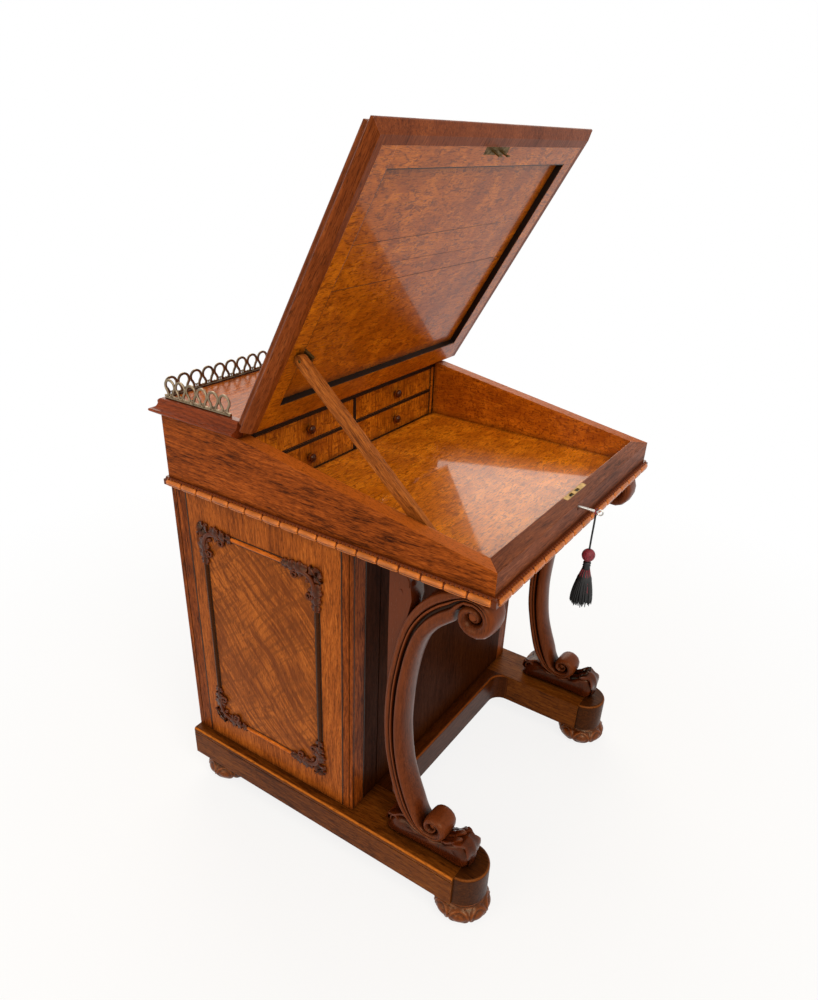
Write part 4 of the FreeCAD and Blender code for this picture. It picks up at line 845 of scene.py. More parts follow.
def support_neck(bm, side):
    """Upright board behind the head, with a small curl at its top."""
    middle, half = support_place()
    top = Z_BOX / MM
    board = [(168, 399), (169, 500), (169.5, 600), (169.5, top), (137, top), (131, 583), (140, 540),
             (149, 500), (158, 452)]
    low, high = sorted(side * (middle + share * half * 0.72) for share in (-1, 1))
    face = bm.faces.new([bm.verts.new(desk(low, *point)) for point in board])
    grown = bmesh.ops.extrude_face_region(bm, geom=[face])["geom"]
    moved = [item for item in grown if isinstance(item, bmesh.types.BMVert)]
    bmesh.ops.translate(bm, vec=Vector(((high - low) * MM, 0, 0)), verts=moved)
    side_spiral(bm, side, half * 0.86, (151, 609), 15, 200, -1.3, 0.75)
    fold = [desk(side * middle, y, z) for y, z in ((150, 596), (142, 575), (146, 548), (155, 510))]
    tube(bm, smooth_path(fold, 12), tapered(3.6, 1.4, 12), X_WAY, 8, half * 0.84 / 3.6)


class DESK_OT_scroll_supports(bpy.types.Operator):
    """Carved scroll supports under the front of the writing box"""
    bl_idname = "desk.scroll_supports"
    bl_label = "Scroll supports"

    def execute(self, context):
        for name, side in (("left", -1), ("right", 1)):
            bm = bmesh.new()
            support_band(bm, side)
            piece("carved_scroll_" + name, bm, "carved_walnut", "desk",
                  ["scroll_support_" + name], 50)
            bm = bmesh.new()
            support_foot(bm, side)
            support_neck(bm, side)
            piece("scroll_leaves_" + name, bm, "carved_dark", "desk", (), 50)
        return {"FINISHED"}


# ---- carved moulding round the box ----
PILL_ENDS = ((0.0, 0.55), (0.03, 0.9), (0.09, 0.98), (0.3, 1.0))
PILL_SECTION = (
    (-4.0, -5.2), (2.4, -5.2), (4.2, -4.2), (4.7, -3.0), (4.2, -2.5), (5.0, -1.4), (5.4, 0.4), (5.0, 2.2),
    (3.6, 3.9), (1.2, 4.9), (-4.0, 4.9),
)
GROUND_SECTION = ((-0.5, 0.0), (6.5, 0.0), (6.5, 9.4), (4.2, 10.6), (3.4, 14.0), (-0.5, 14.0))


def pill(bm, origin, along, out, size):
    """One carved pill: a half-round bar with a low ridge, notched at both ends."""
    rings = []
    for t, grow in PILL_ENDS + tuple((1 - t, grow) for t, grow in reversed(PILL_ENDS)):
        point = origin + along * size * (t * 0.94 + 0.03)
        rings.append([point + (out * proud + Z_WAY * height) * grow * MM for proud, height in PILL_SECTION])
    loft(bm, rings)


def moulding_level(start, end, out, proud, height):
    """Where a row of the moulding starts, its direction and its length."""
    rise = out * proud * MM + Vector((0, 0, height))
    return start + rise, (end - start).normalized(), (end - start).length


def pill_run(bm, start, end, out):
    origin, along, whole = moulding_level(start, end, out, 4.6, Z_BOX + 5.4 * MM)
    count = round(whole / bpy.context.scene.desk_sizes.moulding_pitch)
    for k in range(count):
        pill(bm, origin + along * whole / count * k, along, out, whole / count)


def bead_run(bm, start, end, out):
    origin, along, whole = moulding_level(start, end, out, 4.0, Z_FLOOR - 2.0 * MM)
    count = round(whole / bpy.context.scene.desk_sizes.bead_pitch)
    for k in range(count):
        verts = bmesh.ops.create_icosphere(bm, subdivisions=1, radius=whole / count * 0.46)["verts"]
        bmesh.ops.scale(bm, vec=(1.0, 1.0, 0.55), verts=verts)
        bmesh.ops.translate(bm, vec=origin + along * whole / count * (k + 0.5), verts=verts)


class DESK_OT_carved_moulding(bpy.types.Operator):
    """Pill and bead moulding round the foot of the writing box"""
    bl_idname = "desk.carved_moulding"
    bl_label = "Carved moulding"

    def execute(self, context):
        x, front, back = HALF_BOX, FACE_Y, BOX_BACK_Y
        runs = [[Vector(point) for point in run] for run in (
            ((-x, front, 0), (-x, back, 0), (-1, 0, 0)), ((-x, front, 0), (x, front, 0), (0, -1, 0)),
            ((x, front, 0), (x, back, 0), (1, 0, 0)), ((-x, back, 0), (x, back, 0), (0, 1, 0)))]
        for name, carve, finish_name in (("moulding_pills", pill_run, "carved_golden"),
                                         ("moulding_beads", bead_run, "carved_walnut")):
            bm = bmesh.new()
            for start, end, out in runs:
                carve(bm, start, end, out)
            piece(name, bm, finish_name, "desk")
        bm = bmesh.new()
        rings = []
        for across, y, way in ((-1, front, -1), (1, front, -1), (1, back, 1), (-1, back, 1)):
            ring = []
            for proud, height in GROUND_SECTION:
                ring.append(Vector((across * (x + proud * MM), y + way * proud * MM, Z_BOX + height * MM)))
            rings.append(ring)
        loft(bm, rings, True)
        piece("moulding_ground", bm, "carved_dark", "desk", ["carved_moulding"], 30)
        return {"FINISHED"}


# ---- corner carvings of the side panel ----
ARCH_MIDDLE, ARCH_REACH = 30, 27
CORNER_CURL = ((13.5, 42), 8.0, 0.78, 195, -400, 24)
CORNER_LEAVES = ((17, 40, 12.0, 3.0), (33, 54, 10.0, 3.4), (47, 68, 8.0, 2.6))
CORNER_TIP = ((4, 4, 1.2), (-1, 2, 4), (-8, 6, 4.4), (-10, 13, 2))
HIGHEST = 5.8 * MM


def corner_piece(bm):
    """One corner in its own plane: a and b run along the frame, c stands proud."""
    def at(a, b, c, flip=False):
        return Vector((b, a, c) if flip else (a, b, c)) * MM

    arch = []
    radii = []
    for share in (k / 28 for k in range(29)):
        angle = math.radians(158 + 134 * share)
        reach = ARCH_REACH * (1 - 0.05 * math.cos(2 * math.pi * share))
        arch.append(at(ARCH_MIDDLE + reach * math.cos(angle), ARCH_MIDDLE + reach * math.sin(angle), 3.4))
        radii.append((2.1 + 1.7 * math.sin(math.pi * share)) * MM)
    tube(bm, arch, radii, Z_WAY, 8, 0.95)
    for flip in (False, True):
        path = [at(a, b, 3.2, flip) for a, b in curl(*CORNER_CURL)]
        tube(bm, path, tapered(2.5, 1.5, len(path)), Z_WAY, 8, 1.1)
        for start, end, wide, lift in CORNER_LEAVES:
            middle = (start + end) / 2
            line = ((start, 0, 0.8), (middle, 0.8, lift), (end - 3, 0.4, lift + 0.8), (end, 0, 1.0))
            spine = [at(*point, flip) for point in line]
            leaf(bm, spine, (1, 0, 0) if flip else (0, -1, 0), wide * MM, 0.2, 3, 3 * MM, 1.2 * MM, 16, 8)
        tip = [at(*point, flip) for point in CORNER_TIP]
        across = (0.5, -0.8, 0) if flip else (0.8, -0.5, 0)
        leaf(bm, tip, across, 7.5 * MM, 0.2, 2, 3 * MM, 1.2 * MM, 14, 6)
    crest = [at(14, 14, 1.5), at(4, 4, 4.6), at(-5, -5, 4.2), at(-9, -9, 1.5)]
    leaf(bm, crest, (0.7, -0.7, 0), 11 * MM, 0.2, 3, 3 * MM, 1.2 * MM, 16, 8)
    dome = bmesh.ops.create_icosphere(bm, subdivisions=2, radius=4.2 * MM)["verts"]
    bmesh.ops.translate(bm, vec=at(16, 16, 1.5), verts=dome)
    for vert in bm.verts:
        vert.co.z = min(vert.co.z, HIGHEST)


LINE_FACE = (-HALF_PED - 0.3 * MM, -HALF_PED + 0.2 * MM)


class DESK_OT_corner_carvings(bpy.types.Operator):
    """Scroll and leaf carvings at the corners of the side panel's frame"""
    bl_idname = "desk.corner_carvings"
    bl_label = "Corner carvings"

    def execute(self, context):
        low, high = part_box("side_bead_frame")
        half = 4 * MM
        places = []
        for y, along in ((low.y + half, 1), (high.y - half, -1)):
            for z, up in ((low.z + half, 1), (high.z - half, -1)):
                places.append(Matrix(((0, 0, -1, -HALF_PED), (along, 0, 0, y), (0, up, 0, z), (0, 0, 0, 1))))
        bm = repeated(corner_piece, places)
        piece("corner_leaves", bm, "carved_dark", "desk", ["side_corner_carvings"], 45)
        lines = self.bead_lines(context, low, high) + self.joint_lines()
        bars_piece("frame_lines", lines, "ebonised", "desk")
        return {"FINISHED"}

    def bead_lines(self, context, low, high):
        """Black lines on both sides of the bead frame's bars."""
        arm = context.scene.desk_sizes.carving_arm * 0.75
        x0, x1 = LINE_FACE
        half, near, wide = 4 * MM, 4 * MM, 2 * MM
        bars = []
        for side in (-1, 1):
            for y in (low.y + half, high.y - half):
                a, b = sorted((y + side * near, y + side * (near + wide)))
                bars.append(((x0, a, low.z + arm), (x1, b, high.z - arm)))
            for z in (low.z + half, high.z - half):
                a, b = sorted((z + side * near, z + side * (near + wide)))
                bars.append(((x0, low.y + arm, a), (x1, high.y - arm, b)))
        return bars

    def joint_lines(self):
        """Black lines at the side board's edges and on the front faces of the left posts."""
        x0, x1 = LINE_FACE
        foot, head = Z_PED + 0.2 * MM, Z_BOX - 0.2 * MM
        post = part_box("pedestal_posts")[0].y
        bars = [((x0, y - MM, foot), (x1, y + 1.3 * MM, head))
                for y in (corner.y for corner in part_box("pedestal_left_side"))]
        for x in (-HALF_PED + 4 * MM, -HALF_PED + 32 * MM):
            bars.append(((x, post - 0.3 * MM, foot), (x + 2 * MM, post + 0.2 * MM, head)))
        return bars


# ---- bun feet ----
FOOT_BOWL = (
    (24, 0), (29, 0.6), (34, 2.6), (38.5, 5.4), (42, 8.6), (44.8, 12), (46.6, 15.6), (47.6, 19.4),
    (47.6, 23.2), (46.6, 27), (44.4, 30.6), (41.4, 33.8), (38.2, 36.4),
)
FOOT_COLLAR = ((36.4, 38), (35.4, 39.6), (35.6, 41.2), (37.2, 42.6), (37.4, 44.6), (36.6, 46), (0, 46))
OVAL_MIDDLE = 20.5
OVAL_REACH = 14.0


def oval_lift(across, height):
    """How far the carving of an oval stands out, in millimetres."""
    oval = math.hypot(across / 0.86, (height - OVAL_MIDDLE) / OVAL_REACH)
    lift = 1.3 * math.exp(-((oval - 1.0) / 0.14) ** 2)
    lift += 1.2 * max(0.0, 1 - (oval / 0.74) ** 2)
    lift -= 1.5 * math.exp(-((oval - 0.8) / 0.07) ** 2)
    return lift - 2.2 * max(0.0, min(1.0, (oval - 1.12) / 0.2))


def foot_surface(bm, centre, lobes):
    bowl = [(p.x, p.y) for p in smooth_path([(r, h, 0) for r, h in FOOT_BOWL], 30)]
    profile = [(0, 0), *bowl, *FOOT_COLLAR]
    verts = turned(bm, metres(profile), lobes * 14)
    pitch = 2 * math.pi / lobes
    for vert in verts:
        radius = math.hypot(vert.co.x, vert.co.y) / MM
        height = vert.co.z / MM
        if radius < 30 or height > 36:
            continue
        across = ((math.atan2(vert.co.y, vert.co.x) / pitch) % 1 - 0.5) * 2
        grow = 1 + oval_lift(across, height) / radius
        vert.co.x *= grow
        vert.co.y *= grow
    bmesh.ops.translate(bm, vec=centre, verts=verts)


class DESK_OT_bun_feet(bpy.types.Operator):
    """Turned feet with carved ovals"""
    bl_idname = "desk.bun_feet"
    bl_label = "Bun feet"

    def execute(self, context):
        for place in ("front_left", "front_right", "rear_left", "rear_right"):
            low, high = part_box("foot_" + place)
            centre = Vector(((low.x + high.x) / 2, (low.y + high.y) / 2, 0))
            bm = bmesh.new()
            foot_surface(bm, centre, context.scene.desk_sizes.foot_lobes)
            piece("carved_foot_" + place, bm, "carved_foot", "desk", ["foot_" + place], 60)
        return {"FINISHED"}


# ---- pierced gallery ----
GALLERY_PITCH = 25.7 * MM
GALLERY_CURL = ((2.2, 5.4), 3.0, 0.44, 90, 330, 11)


def gallery_unit(bm, pitch, wire):
    """One looped arch with its crossing stems, standing on the rail."""
    half = pitch / MM / 2
    loop = [(-half, 3.4), (-half * 0.7, 3.6), (-5.6, 5.6), (-5.6, 8.6)]
    for k in range(13):
        angle = math.radians(226 - 272 * k / 12)
        loop.append((10.9 * math.cos(angle), 20.2 + 10.0 * math.sin(angle)))
    loop += [(5.6, 8.6), (5.6, 5.6), (half * 0.7, 3.6), (half, 3.4)]
    path = smooth_path([Vector((x * MM, 0, z * MM)) for x, z in loop], 44)
    tube(bm, path, wire / 2, Y_WAY, 6, 0.88)
    for side in (-1, 1):
        path = [Vector((side * x, 0, z)) * MM for x, z in curl(*GALLERY_CURL)]
        tube(bm, path, 1.1 * MM, Y_WAY, 5)
    verts = bmesh.ops.create_icosphere(bm, subdivisions=1, radius=2.1 * MM)["verts"]
    bmesh.ops.translate(bm, vec=(pitch / 2, 0, 4.5 * MM), verts=verts)


class DESK_OT_gallery(bpy.types.Operator):
    """Pierced bronze gallery round the rear deck"""
    bl_idname = "desk.gallery"
    bl_label = "Gallery"

    def execute(self, context):
        low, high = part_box("gallery")
        wire = context.scene.desk_sizes.gallery_wire
        inset = 1.6 * MM
        corners = [Vector((low.x + inset, low.y, Z_DECK)), Vector((low.x + inset, high.y - inset, Z_DECK)),
                   Vector((high.x - inset, high.y - inset, Z_DECK)), Vector((high.x - inset, low.y, Z_DECK))]
        places = []
        for start, end in zip(corners, corners[1:]):
            way = end - start
            count = round(way.length / GALLERY_PITCH)
            step = way / count
            along = way.normalized()
            across = Vector((-along.y, along.x, 0))
            turn = Matrix((along, across, (0, 0, 1))).transposed().to_4x4()
            stretch = Matrix.Scale(step.length / GALLERY_PITCH, 4, (1, 0, 0))
            for k in range(count):
                places.append(Matrix.Translation(start + step * (k + 0.5)) @ turn @ stretch)
        bm = repeated(lambda unit: gallery_unit(unit, GALLERY_PITCH, wire), places)
        for start, end in zip(corners, corners[1:]):
            rise = 1.6 * MM * Z_WAY
            tube(bm, [start + rise, end + rise], 2.2 * MM, Z_WAY, 8, 0.7)
        piece("bronze_gallery", bm, "bronze", "desk", ["gallery"], 60)
        return {"FINISHED"}


# ---- knobs ----
KNOB_PROFILE = (
    (0.62, 0.02), (0.58, 0.1), (0.46, 0.16), (0.42, 0.28), (0.5, 0.4), (0.82, 0.5), (0.99, 0.6), (1.02, 0.7),
    (0.94, 0.82), (0.8, 0.87), (0.76, 0.9), (0.7, 0.88), (0.5, 0.97), (0.26, 1.02), (0, 1.03),
)
SMALL_KNOB = (7.3 * MM, 13.0 * MM)
SIDE_KNOB = (15.4 * MM, 17.0 * MM)


def knob(bm, centre, size, way):
    """A turned knob, its root sunk a millimetre; size is its radius and how far it stands out."""
    radius, out = size
    turn = Z_WAY.rotation_difference(way).to_matrix().to_4x4()
    profile = [(0, -MM), (0.62 * radius, -MM)] + [(r * radius, h * out) for r, h in KNOB_PROFILE]
    turned(bm, profile, 28, Matrix.Translation(centre) @ turn)


class DESK_OT_knobs(bpy.types.Operator):
    """Turned knobs of the small and the side drawers"""
    bl_idname = "desk.knobs"
    bl_label = "Drawer knobs"

    def execute(self, context):
        for number in range(1, 5):
            low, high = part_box("small_drawer_%d" % number)
            bm = bmesh.new()
            centre = Vector(((low.x + high.x) / 2, low.y + KNOB_FACE, (low.z + high.z) / 2))
            knob(bm, centre, SMALL_KNOB, -Y_WAY)
            piece("small_knob_%d" % number, bm, "carved_dark", "small_drawer_%d" % number)
            low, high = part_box("side_drawer_front_%d" % number)
            bm = bmesh.new()
            for side in (-1, 1):
                centre = Vector((HALF_PED, (low.y + high.y) / 2 + side * 75 * MM, (low.z + high.z) / 2))
                knob(bm, centre, SIDE_KNOB, X_WAY)
            piece("side_knobs_%d" % number, bm, "carved_walnut", "side_drawer_%d" % number)
        return {"FINISHED"}


# ---- lid ----
def lid_matrix():
    """From lid coordinates (x, distance from the hinge, depth under the top) to the open lid."""
    spin = math.radians(SLOPE_DEG - LID_OPEN_DEG)
    turn = Matrix.Rotation(spin, 4, "X")
    flip = Matrix(((1, 0, 0, 0), (0, -1, 0, 0), (0, 0, -1, 0), (0, 0, 0, 1)))
    return Matrix.Translation((0, HINGE_Y, Z_DECK)) @ turn @ flip


# across, from the hinge and under the top, in millimetres
PANEL_HALF, PANEL_NEAR, PANEL_FAR = 249.0, 41.7, 408.6
PANEL_DEPTHS = (17.0, 27.2)
PANEL_FACE = 17.7
PANEL_LINES = (
    (-249.0, 249.0, 231.0, 0.8, 0.0), (-249.0, 150.0, 300.0, 0.6, 0.5), (-90.0, 140.0, 262.0, 0.4, -0.4),
)
LEATHER_HALF, LEATHER_NEAR, LEATHER_FAR = 256.8, 33.9, 416.4
LEATHER_DEPTHS = (0.12, 0.4)
LINING = 1.6
LAP = 0.4


def lid_bars(name, corners, depths, finish_name):
    """Bars in the plane of the lid, between two depths."""
    bars = [[Vector((*corner, deep)) * MM for corner, deep in zip(pair, depths)] for pair in corners]
    bars_piece(name, bars, finish_name, "lid", lid_matrix())


class DESK_OT_lid_lining(bpy.types.Operator):
    """Ebonised lining of the lid's sunk panel, lines in its veneer and the leather's gilt border"""
    bl_idname = "desk.lid_lining"
    bl_label = "Lid lining"

    def execute(self, context):
        lining = rim(-PANEL_HALF - LAP, PANEL_HALF + LAP, PANEL_NEAR - LAP, PANEL_FAR + LAP, LINING + LAP)
        lid_bars("lid_black_lining", lining, PANEL_DEPTHS, "ebonised")
        bm = bmesh.new()
        for start, end, place, wide, skew in PANEL_LINES:
            low = Vector((start, place - wide / 2, PANEL_FACE - 0.3)) * MM
            high = Vector((end, place + wide / 2, PANEL_FACE + 0.06)) * MM
            turn = Matrix.Rotation(math.radians(skew), 3, "Z")
            verts = grown_box(bm, low, high)
            bmesh.ops.rotate(bm, cent=Vector((start, place, PANEL_FACE)) * MM, matrix=turn, verts=verts)
        bmesh.ops.transform(bm, matrix=lid_matrix(), verts=bm.verts)
        piece("lid_panel_lines", bm, "ebonised", "lid", (), 30)
        strips = []
        for inset, wide in ((12.0, 1.4), (17.0, 0.6)):
            half = LEATHER_HALF - inset
            strips += rim(-half, half, LEATHER_NEAR + inset, LEATHER_FAR - inset, wide)
        lid_bars("leather_tooling", strips, LEATHER_DEPTHS, "gilt")
        return {"FINISHED"}


def cut_to_slope(bm):
    """Takes off what stands over the sloping rim of the writing box and closes the cut."""
    tilt = math.radians(SLOPE_DEG)
    place = (0, HINGE_Y, Z_REAR - 0.1 * MM)
    upward = (0, -math.sin(tilt), math.cos(tilt))
    bmesh.ops.bisect_plane(bm, geom=bm.verts[:] + bm.edges[:] + bm.faces[:], clear_outer=True,
                           plane_co=place, plane_no=upward)
    bmesh.ops.holes_fill(bm, edges=bm.edges)


class DESK_OT_well_lining(bpy.types.Operator):
    """Maple lining inside the writing box and the black lines round the small drawers"""
    bl_idname = "desk.well_lining"
    bl_label = "Well lining"

    def execute(self, context):
        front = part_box("well_floor")[0].y
        sheet = 0.4 * MM
        inside = INNER - sheet
        end = BANK_Y - 0.4 * MM
        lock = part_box("lock_case")
        for name, finish_name, sheets in (
                ("left", "maple_side", [(-INNER, front, -inside, end)]),
                ("right", "maple_side", [(inside, front, INNER, end)]),
                ("front", "maple_front", [(-inside, front, lock[0].x - MM, front + sheet),
                                          (lock[1].x + MM, front, inside, front + sheet)])):
            bm = bmesh.new()
            for x0, y0, x1, y1 in sheets:
                grown_box(bm, (x0, y0, LINE_FOOT), (x1, y1, Z_REAR + 10 * MM))
            cut_to_slope(bm)
            piece("well_lining_" + name, bm, finish_name, "desk", (), 30)
        bars_piece("bank_lines", self.bank_lines(), "ebonised", "desk")
        for number in range(1, 5):
            self.drawer_line(number)
        return {"FINISHED"}

    def bank_lines(self):
        """Black edges of the drawer case, its shelf and its top rail."""
        half = INNER - 15 * MM
        face = BANK_Y - 0.3 * MM
        shelf = Z_FLOOR + 50 * MM
        bars = [
            ((-half, face, shelf), (half, BANK_Y, shelf + 3 * MM)),
            ((-INNER + MM, face, Z_REAR - 7.5 * MM), (INNER - MM, BANK_Y, Z_REAR - 2.5 * MM)),
            ((-INNER + MM, BANK_Y - 2.4 * MM, Z_FLOOR), (INNER - MM, BANK_Y - 0.2 * MM, Z_FLOOR + 0.2 * MM)),
        ]
        for near, far in ((half, half + 2.4 * MM), (INNER - 4 * MM, INNER - 0.5 * MM)):
            for x0, x1 in ((-far, -near), (near, far)):
                bars.append(((x0, face, LINE_FOOT), (x1, BANK_Y, Z_REAR - 0.5 * MM)))
        return bars

    def drawer_line(self, number):
        """Black line inlaid round one drawer front."""
        low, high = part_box("small_drawer_%d" % number)
        front = low.y + KNOB_FACE
        bars = [((a[0], front - 0.2 * MM, a[1]), (b[0], front + 0.2 * MM, b[1]))
                for a, b in rim(low.x, high.x, low.z, high.z, 1.5 * MM)]
        bars_piece("drawer_line_%d" % number, bars, "ebonised", "small_drawer_%d" % number)


# ---- tassel ----
RED_THREADS = 14
KNOT_PROFILE = (
    (0, 0), (4.6, 0), (6.2, 2.5), (5.0, 4.4), (6.4, 6.6), (5.2, 8.8), (6.3, 11), (5.2, 13.4), (0, 14),
)
CORE_PROFILE = ((0, -56), (13, -54), (14.6, -40), (11.5, -16), (5.4, 0), (0, 1))
CORD_POINTS = ((-29.0, -28.5, 670.1), (-29.7, -28.9, 651.1), (-28.7, -28.2, 631.1), (-29.0, -28.5, 611.1))


class DESK_OT_tassel(bpy.types.Operator):
    """Key tassel: wrapped loop, cord, bead and skirt of threads"""
    bl_idname = "desk.tassel"
    bl_label = "Key tassel"

    def execute(self, context):
        sizes = context.scene.desk_sizes
        line = bpy.data.curves.new("tassel_line", "CURVE")
        line.dimensions = "3D"
        spline = line.splines.new("NURBS")
        spline.points.add(len(CORD_POINTS) - 1)
        for point, place in zip(spline.points, CORD_POINTS):
            point.co = (*desk(*place), 1)
        spline.order_u = 3
        spline.use_endpoint_u = True
        line.bevel_depth = sizes.cord_width / 2
        line.bevel_resolution = 4
        line.resolution_u = 16
        line.use_fill_caps = True
        cord = seated(placed("tassel_line", line), "black_silk", "tassel", ["tassel_cord"])
        parts = [self.loop(), self.bead()]
        self.skirt(sizes.strand_count)
        return {"FINISHED"}

    def loop(self):
        """Thread wound round the ring that hangs on the key."""
        low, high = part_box("tassel_loop")
        centre = (low + high) / 2
        reach = (high.x - low.x) / 2 - 1.3 * MM
        bm = bmesh.new()
        rings = []
        for k in range(96):
            angle = 2 * math.pi * k / 96
            away = Vector((math.cos(angle), 0, math.sin(angle)))
            radius = (1.18 + 0.12 * math.cos(24 * angle)) * MM
            middle = centre + reach * away
            ring = []
            for turn in (2 * math.pi * j / 10 for j in range(10)):
                ring.append(middle + radius * (math.cos(turn) * away + math.sin(turn) * Y_WAY))
            rings.append(ring)
        loft(bm, rings, True)
        return piece("tassel_wrap", bm, "red_silk", "tassel", ["tassel_loop"])

    def bead(self):
        """Round bead covered with upright threads."""
        low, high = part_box("tassel_bead")
        centre = (low + high) / 2
        radius = (high.z - low.z) / 2
        turns = [math.radians(a) for a in range(-75, 76, 10)]
        round_part = [(radius * 0.985 * math.cos(turn), radius * math.sin(turn)) for turn in turns]
        profile = [(0, -radius), *round_part, (0, radius)]
        bm = bmesh.new()
        verts = turned(bm, profile, 96)
        for vert in verts:
            angle = math.atan2(vert.co.y, vert.co.x)
            grow = 1 - 0.022 * (1 + math.cos(24 * angle + vert.co.z / radius * 2.2))
            vert.co.x *= grow
            vert.co.y *= grow
        bmesh.ops.translate(bm, vec=centre, verts=verts)
        return piece("tassel_ball", bm, "red_silk", "tassel", ["tassel_bead"], 80)

    def skirt(self, count):
        """Knot and hanging threads."""
        low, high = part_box("tassel_skirt")
        centre = (low + high) / 2
        reach = (high.x - low.x) / 2
        neck = high.z - 14 * MM
        draw = random.Random(11)

        def hanging(angle, out, drop):
            return Vector((centre.x + out * math.cos(angle), centre.y + out * math.sin(angle), neck - drop))

        def strand(bm, angle, path, radii):
            tube(bm, path, radii, Vector((-math.sin(angle), math.cos(angle), 0)), 5)

        bm = bmesh.new()
        place = Matrix.Translation((centre.x, centre.y, neck))
        for profile, sides in ((KNOT_PROFILE, 24), (CORE_PROFILE, 20)):
            turned(bm, metres(profile), sides, place)
        for k in range(count):
            angle = 2 * math.pi * k / count + draw.uniform(-0.05, 0.05)
            fall = (neck - low.z) * draw.uniform(0.86, 0.995)
            wide = reach * (0.8 + 0.18 * (k % 3) / 2) * draw.uniform(0.9, 0.985)
            sway = draw.uniform(-0.1, 0.1)
            path = []
            radii = []
            for t in (j / 7 for j in range(8)):
                out = 4.2 * MM + (wide - 5.2 * MM) * (1 - (1 - t) ** 1.6)
                path.append(hanging(angle + sway * t * t, out, fall * t - MM))
                radii.append((1.0 + 0.9 * math.sin(math.pi * min(1, t * 1.05))) * MM)
            radii[-1] = 0.5 * MM
            strand(bm, angle, path, radii)
        piece("tassel_threads", bm, "black_silk", "tassel", ["tassel_skirt"], 80)
        bm = bmesh.new()
        for k in range(RED_THREADS):
            angle = 2 * math.pi * (k + draw.uniform(-0.3, 0.3)) / RED_THREADS
            path = []
            for t in (j / 5 for j in range(6)):
                out = (5.6 + 12.0 * (1 - (1 - 0.55 * t) ** 1.7)) * MM
                path.append(hanging(angle, out, 36 * MM * t))
            strand(bm, angle, path, 0.9 * MM)
        piece("tassel_red_threads", bm, "red_silk", "tassel", (), 80)


# ---- finishes on the frame's own pieces ----
class DESK_OT_finishes(bpy.types.Operator):
    """Gives every piece of the frame its wood, metal or leather"""
    bl_idname = "desk.finishes"
    bl_label = "Finishes"

    def execute(self, context):
        for name, item in NODES.items():
            if item.hide_render:
                continue
            wanted = finish(NODE_FINISH[name])
            if not item.material_slots:
                item.data.materials.append(wanted)
            for slot in item.material_slots:
                slot.material = wanted
        return {"FINISHED"}


# ---- camera and stage ----
CAMERA_PLACE = (-1.0310, -0.6309, 1.1597)
CAMERA_TURN = (56.965, 29.28, 2.297)
CAMERA_LENS = {"sensor_width": 36, "lens": 27.02, "shift_x": 0.0064, "shift_y": 0.0515, "clip_start": 0.05,
               "clip_end": 60}
LAMPS = (
    ("key_lamp", (-1.6, -2.6, 3.0), 2.2, 95), ("left_lamp", (-3.2, 0.8, 1.6), 2.4, 40),
    ("rear_lamp", (1.8, 2.4, 2.6), 2.0, 45), ("right_lamp", (2.9, 1.0, 1.75), 1.5, 18),
)
LAMP_AIM = Vector((0, 0, 0.6))
LAMP_COLOUR = (1.0, 0.91, 0.79)
ROOM_LIGHT = (1.0, 0.86, 0.69, 1)
ROOM_STRENGTH = 0.4
FLOOR_HALF = 20.0


class DESK_OT_camera(bpy.types.Operator):
    """Camera at the front left, above the box"""
    bl_idname = "desk.camera"
    bl_label = "Camera"

    def execute(self, context):
        yaw, pitch, roll = (math.radians(a) for a in CAMERA_TURN)
        ahead = Vector((math.sin(yaw) * math.cos(pitch), math.cos(yaw) * math.cos(pitch), -math.sin(pitch)))
        right = Vector((math.cos(yaw), -math.sin(yaw), 0))
        up = right.cross(ahead)
        level = math.cos(roll) * right + math.sin(roll) * up
        top = math.cos(roll) * up - math.sin(roll) * right
        data = bpy.data.cameras.new("camera")
        for key, value in CAMERA_LENS.items():
            setattr(data, key, value)
        camera = placed("camera", data)
        turn = Matrix((level, top, -ahead)).transposed().to_4x4()
        camera.matrix_world = Matrix.Translation(CAMERA_PLACE) @ turn
        context.scene.camera = camera
        return {"FINISHED"}


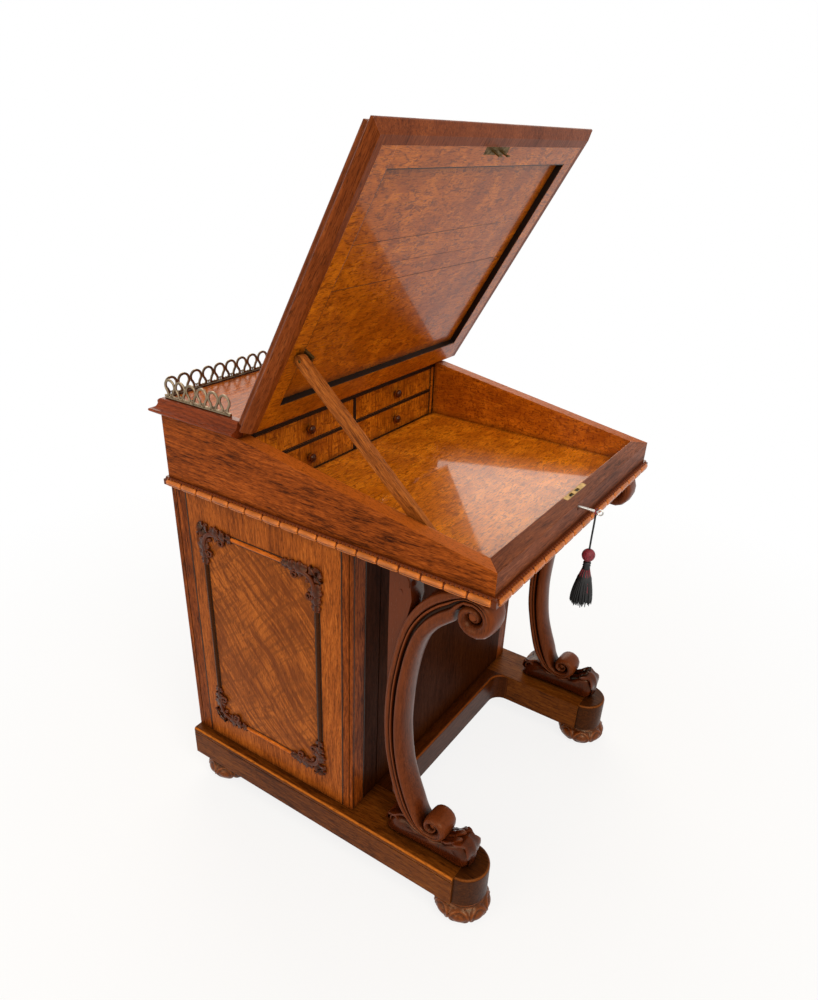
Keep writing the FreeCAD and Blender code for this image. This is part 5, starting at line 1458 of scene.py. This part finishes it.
class DESK_OT_stage(bpy.types.Operator):
    """Pale floor, soft lamps and white surround"""
    bl_idname = "desk.stage"
    bl_label = "Stage"

    def execute(self, context):
        self.floor()
        self.lamps()
        self.surround(context)
        context.scene.view_settings.view_transform = "Standard"
        return {"FINISHED"}

    def floor(self):
        bm = bmesh.new()
        bmesh.ops.create_grid(bm, x_segments=1, y_segments=1, size=FLOOR_HALF)
        mesh = bpy.data.meshes.new("floor")
        bm.to_mesh(mesh)
        bm.free()
        mesh.materials.append(finish("floor"))
        placed("floor", mesh)

    def lamps(self):
        for name, place, size, power in LAMPS:
            data = bpy.data.lights.new(name, "AREA")
            data.size = size
            data.energy = power
            data.color = LAMP_COLOUR
            lamp = placed(name, data)
            lamp.location = place
            lamp.rotation_mode = "QUATERNION"
            lamp.rotation_quaternion = (LAMP_AIM - Vector(place)).to_track_quat("-Z", "Y")

    def surround(self, context):
        """White where it is seen, and a warm dim light on the desk."""
        world = bpy.data.worlds.new("surround")
        context.scene.world = world
        world.use_nodes = True
        room = Nodes(world.node_tree)
        light = room.add("Background", Color=ROOM_LIGHT, Strength=ROOM_STRENGTH)
        white = room.add("Background", Color=(1, 1, 1, 1), Strength=1.0)
        blend = room.add("MixShader")
        room.puts(blend, (room.seen(), light.outputs[0], white.outputs[0]))
        room.add("OutputWorld", Surface=blend.outputs[0])


STEPS = (
    DESK_OT_camera, DESK_OT_tassel, DESK_OT_scroll_supports, DESK_OT_carved_moulding, DESK_OT_corner_carvings,
    DESK_OT_bun_feet, DESK_OT_gallery, DESK_OT_knobs, DESK_OT_lid_lining, DESK_OT_well_lining,
    DESK_OT_finishes, DESK_OT_stage,
)


class DESK_PT_panel(bpy.types.Panel):
    """Lists the desk's steps, sizes and colours"""
    bl_idname = "DESK_PT_panel"
    bl_label = "Davenport desk"
    bl_space_type = "VIEW_3D"
    bl_region_type = "UI"
    bl_category = "Desk"

    def draw(self, context):
        for step in STEPS:
            self.layout.operator(step.bl_idname)
        for group in (context.scene.desk_sizes, context.scene.desk_colours):
            for name in group.__annotations__:
                self.layout.prop(group, name)


CLASSES = (DeskSizes, DeskColours, *STEPS, DESK_PT_panel)


def register():
    for item in CLASSES:
        bpy.utils.register_class(item)
    bpy.types.Scene.desk_sizes = PointerProperty(type=DeskSizes)
    bpy.types.Scene.desk_colours = PointerProperty(type=DeskColours)


def unregister():
    del bpy.types.Scene.desk_colours
    del bpy.types.Scene.desk_sizes
    for item in reversed(CLASSES):
        bpy.utils.unregister_class(item)


def main():
    register()
    for step in STEPS:
        group, name = step.bl_idname.split(".")
        getattr(getattr(bpy.ops, group), name)()


if __name__ == "__main__":
    main()
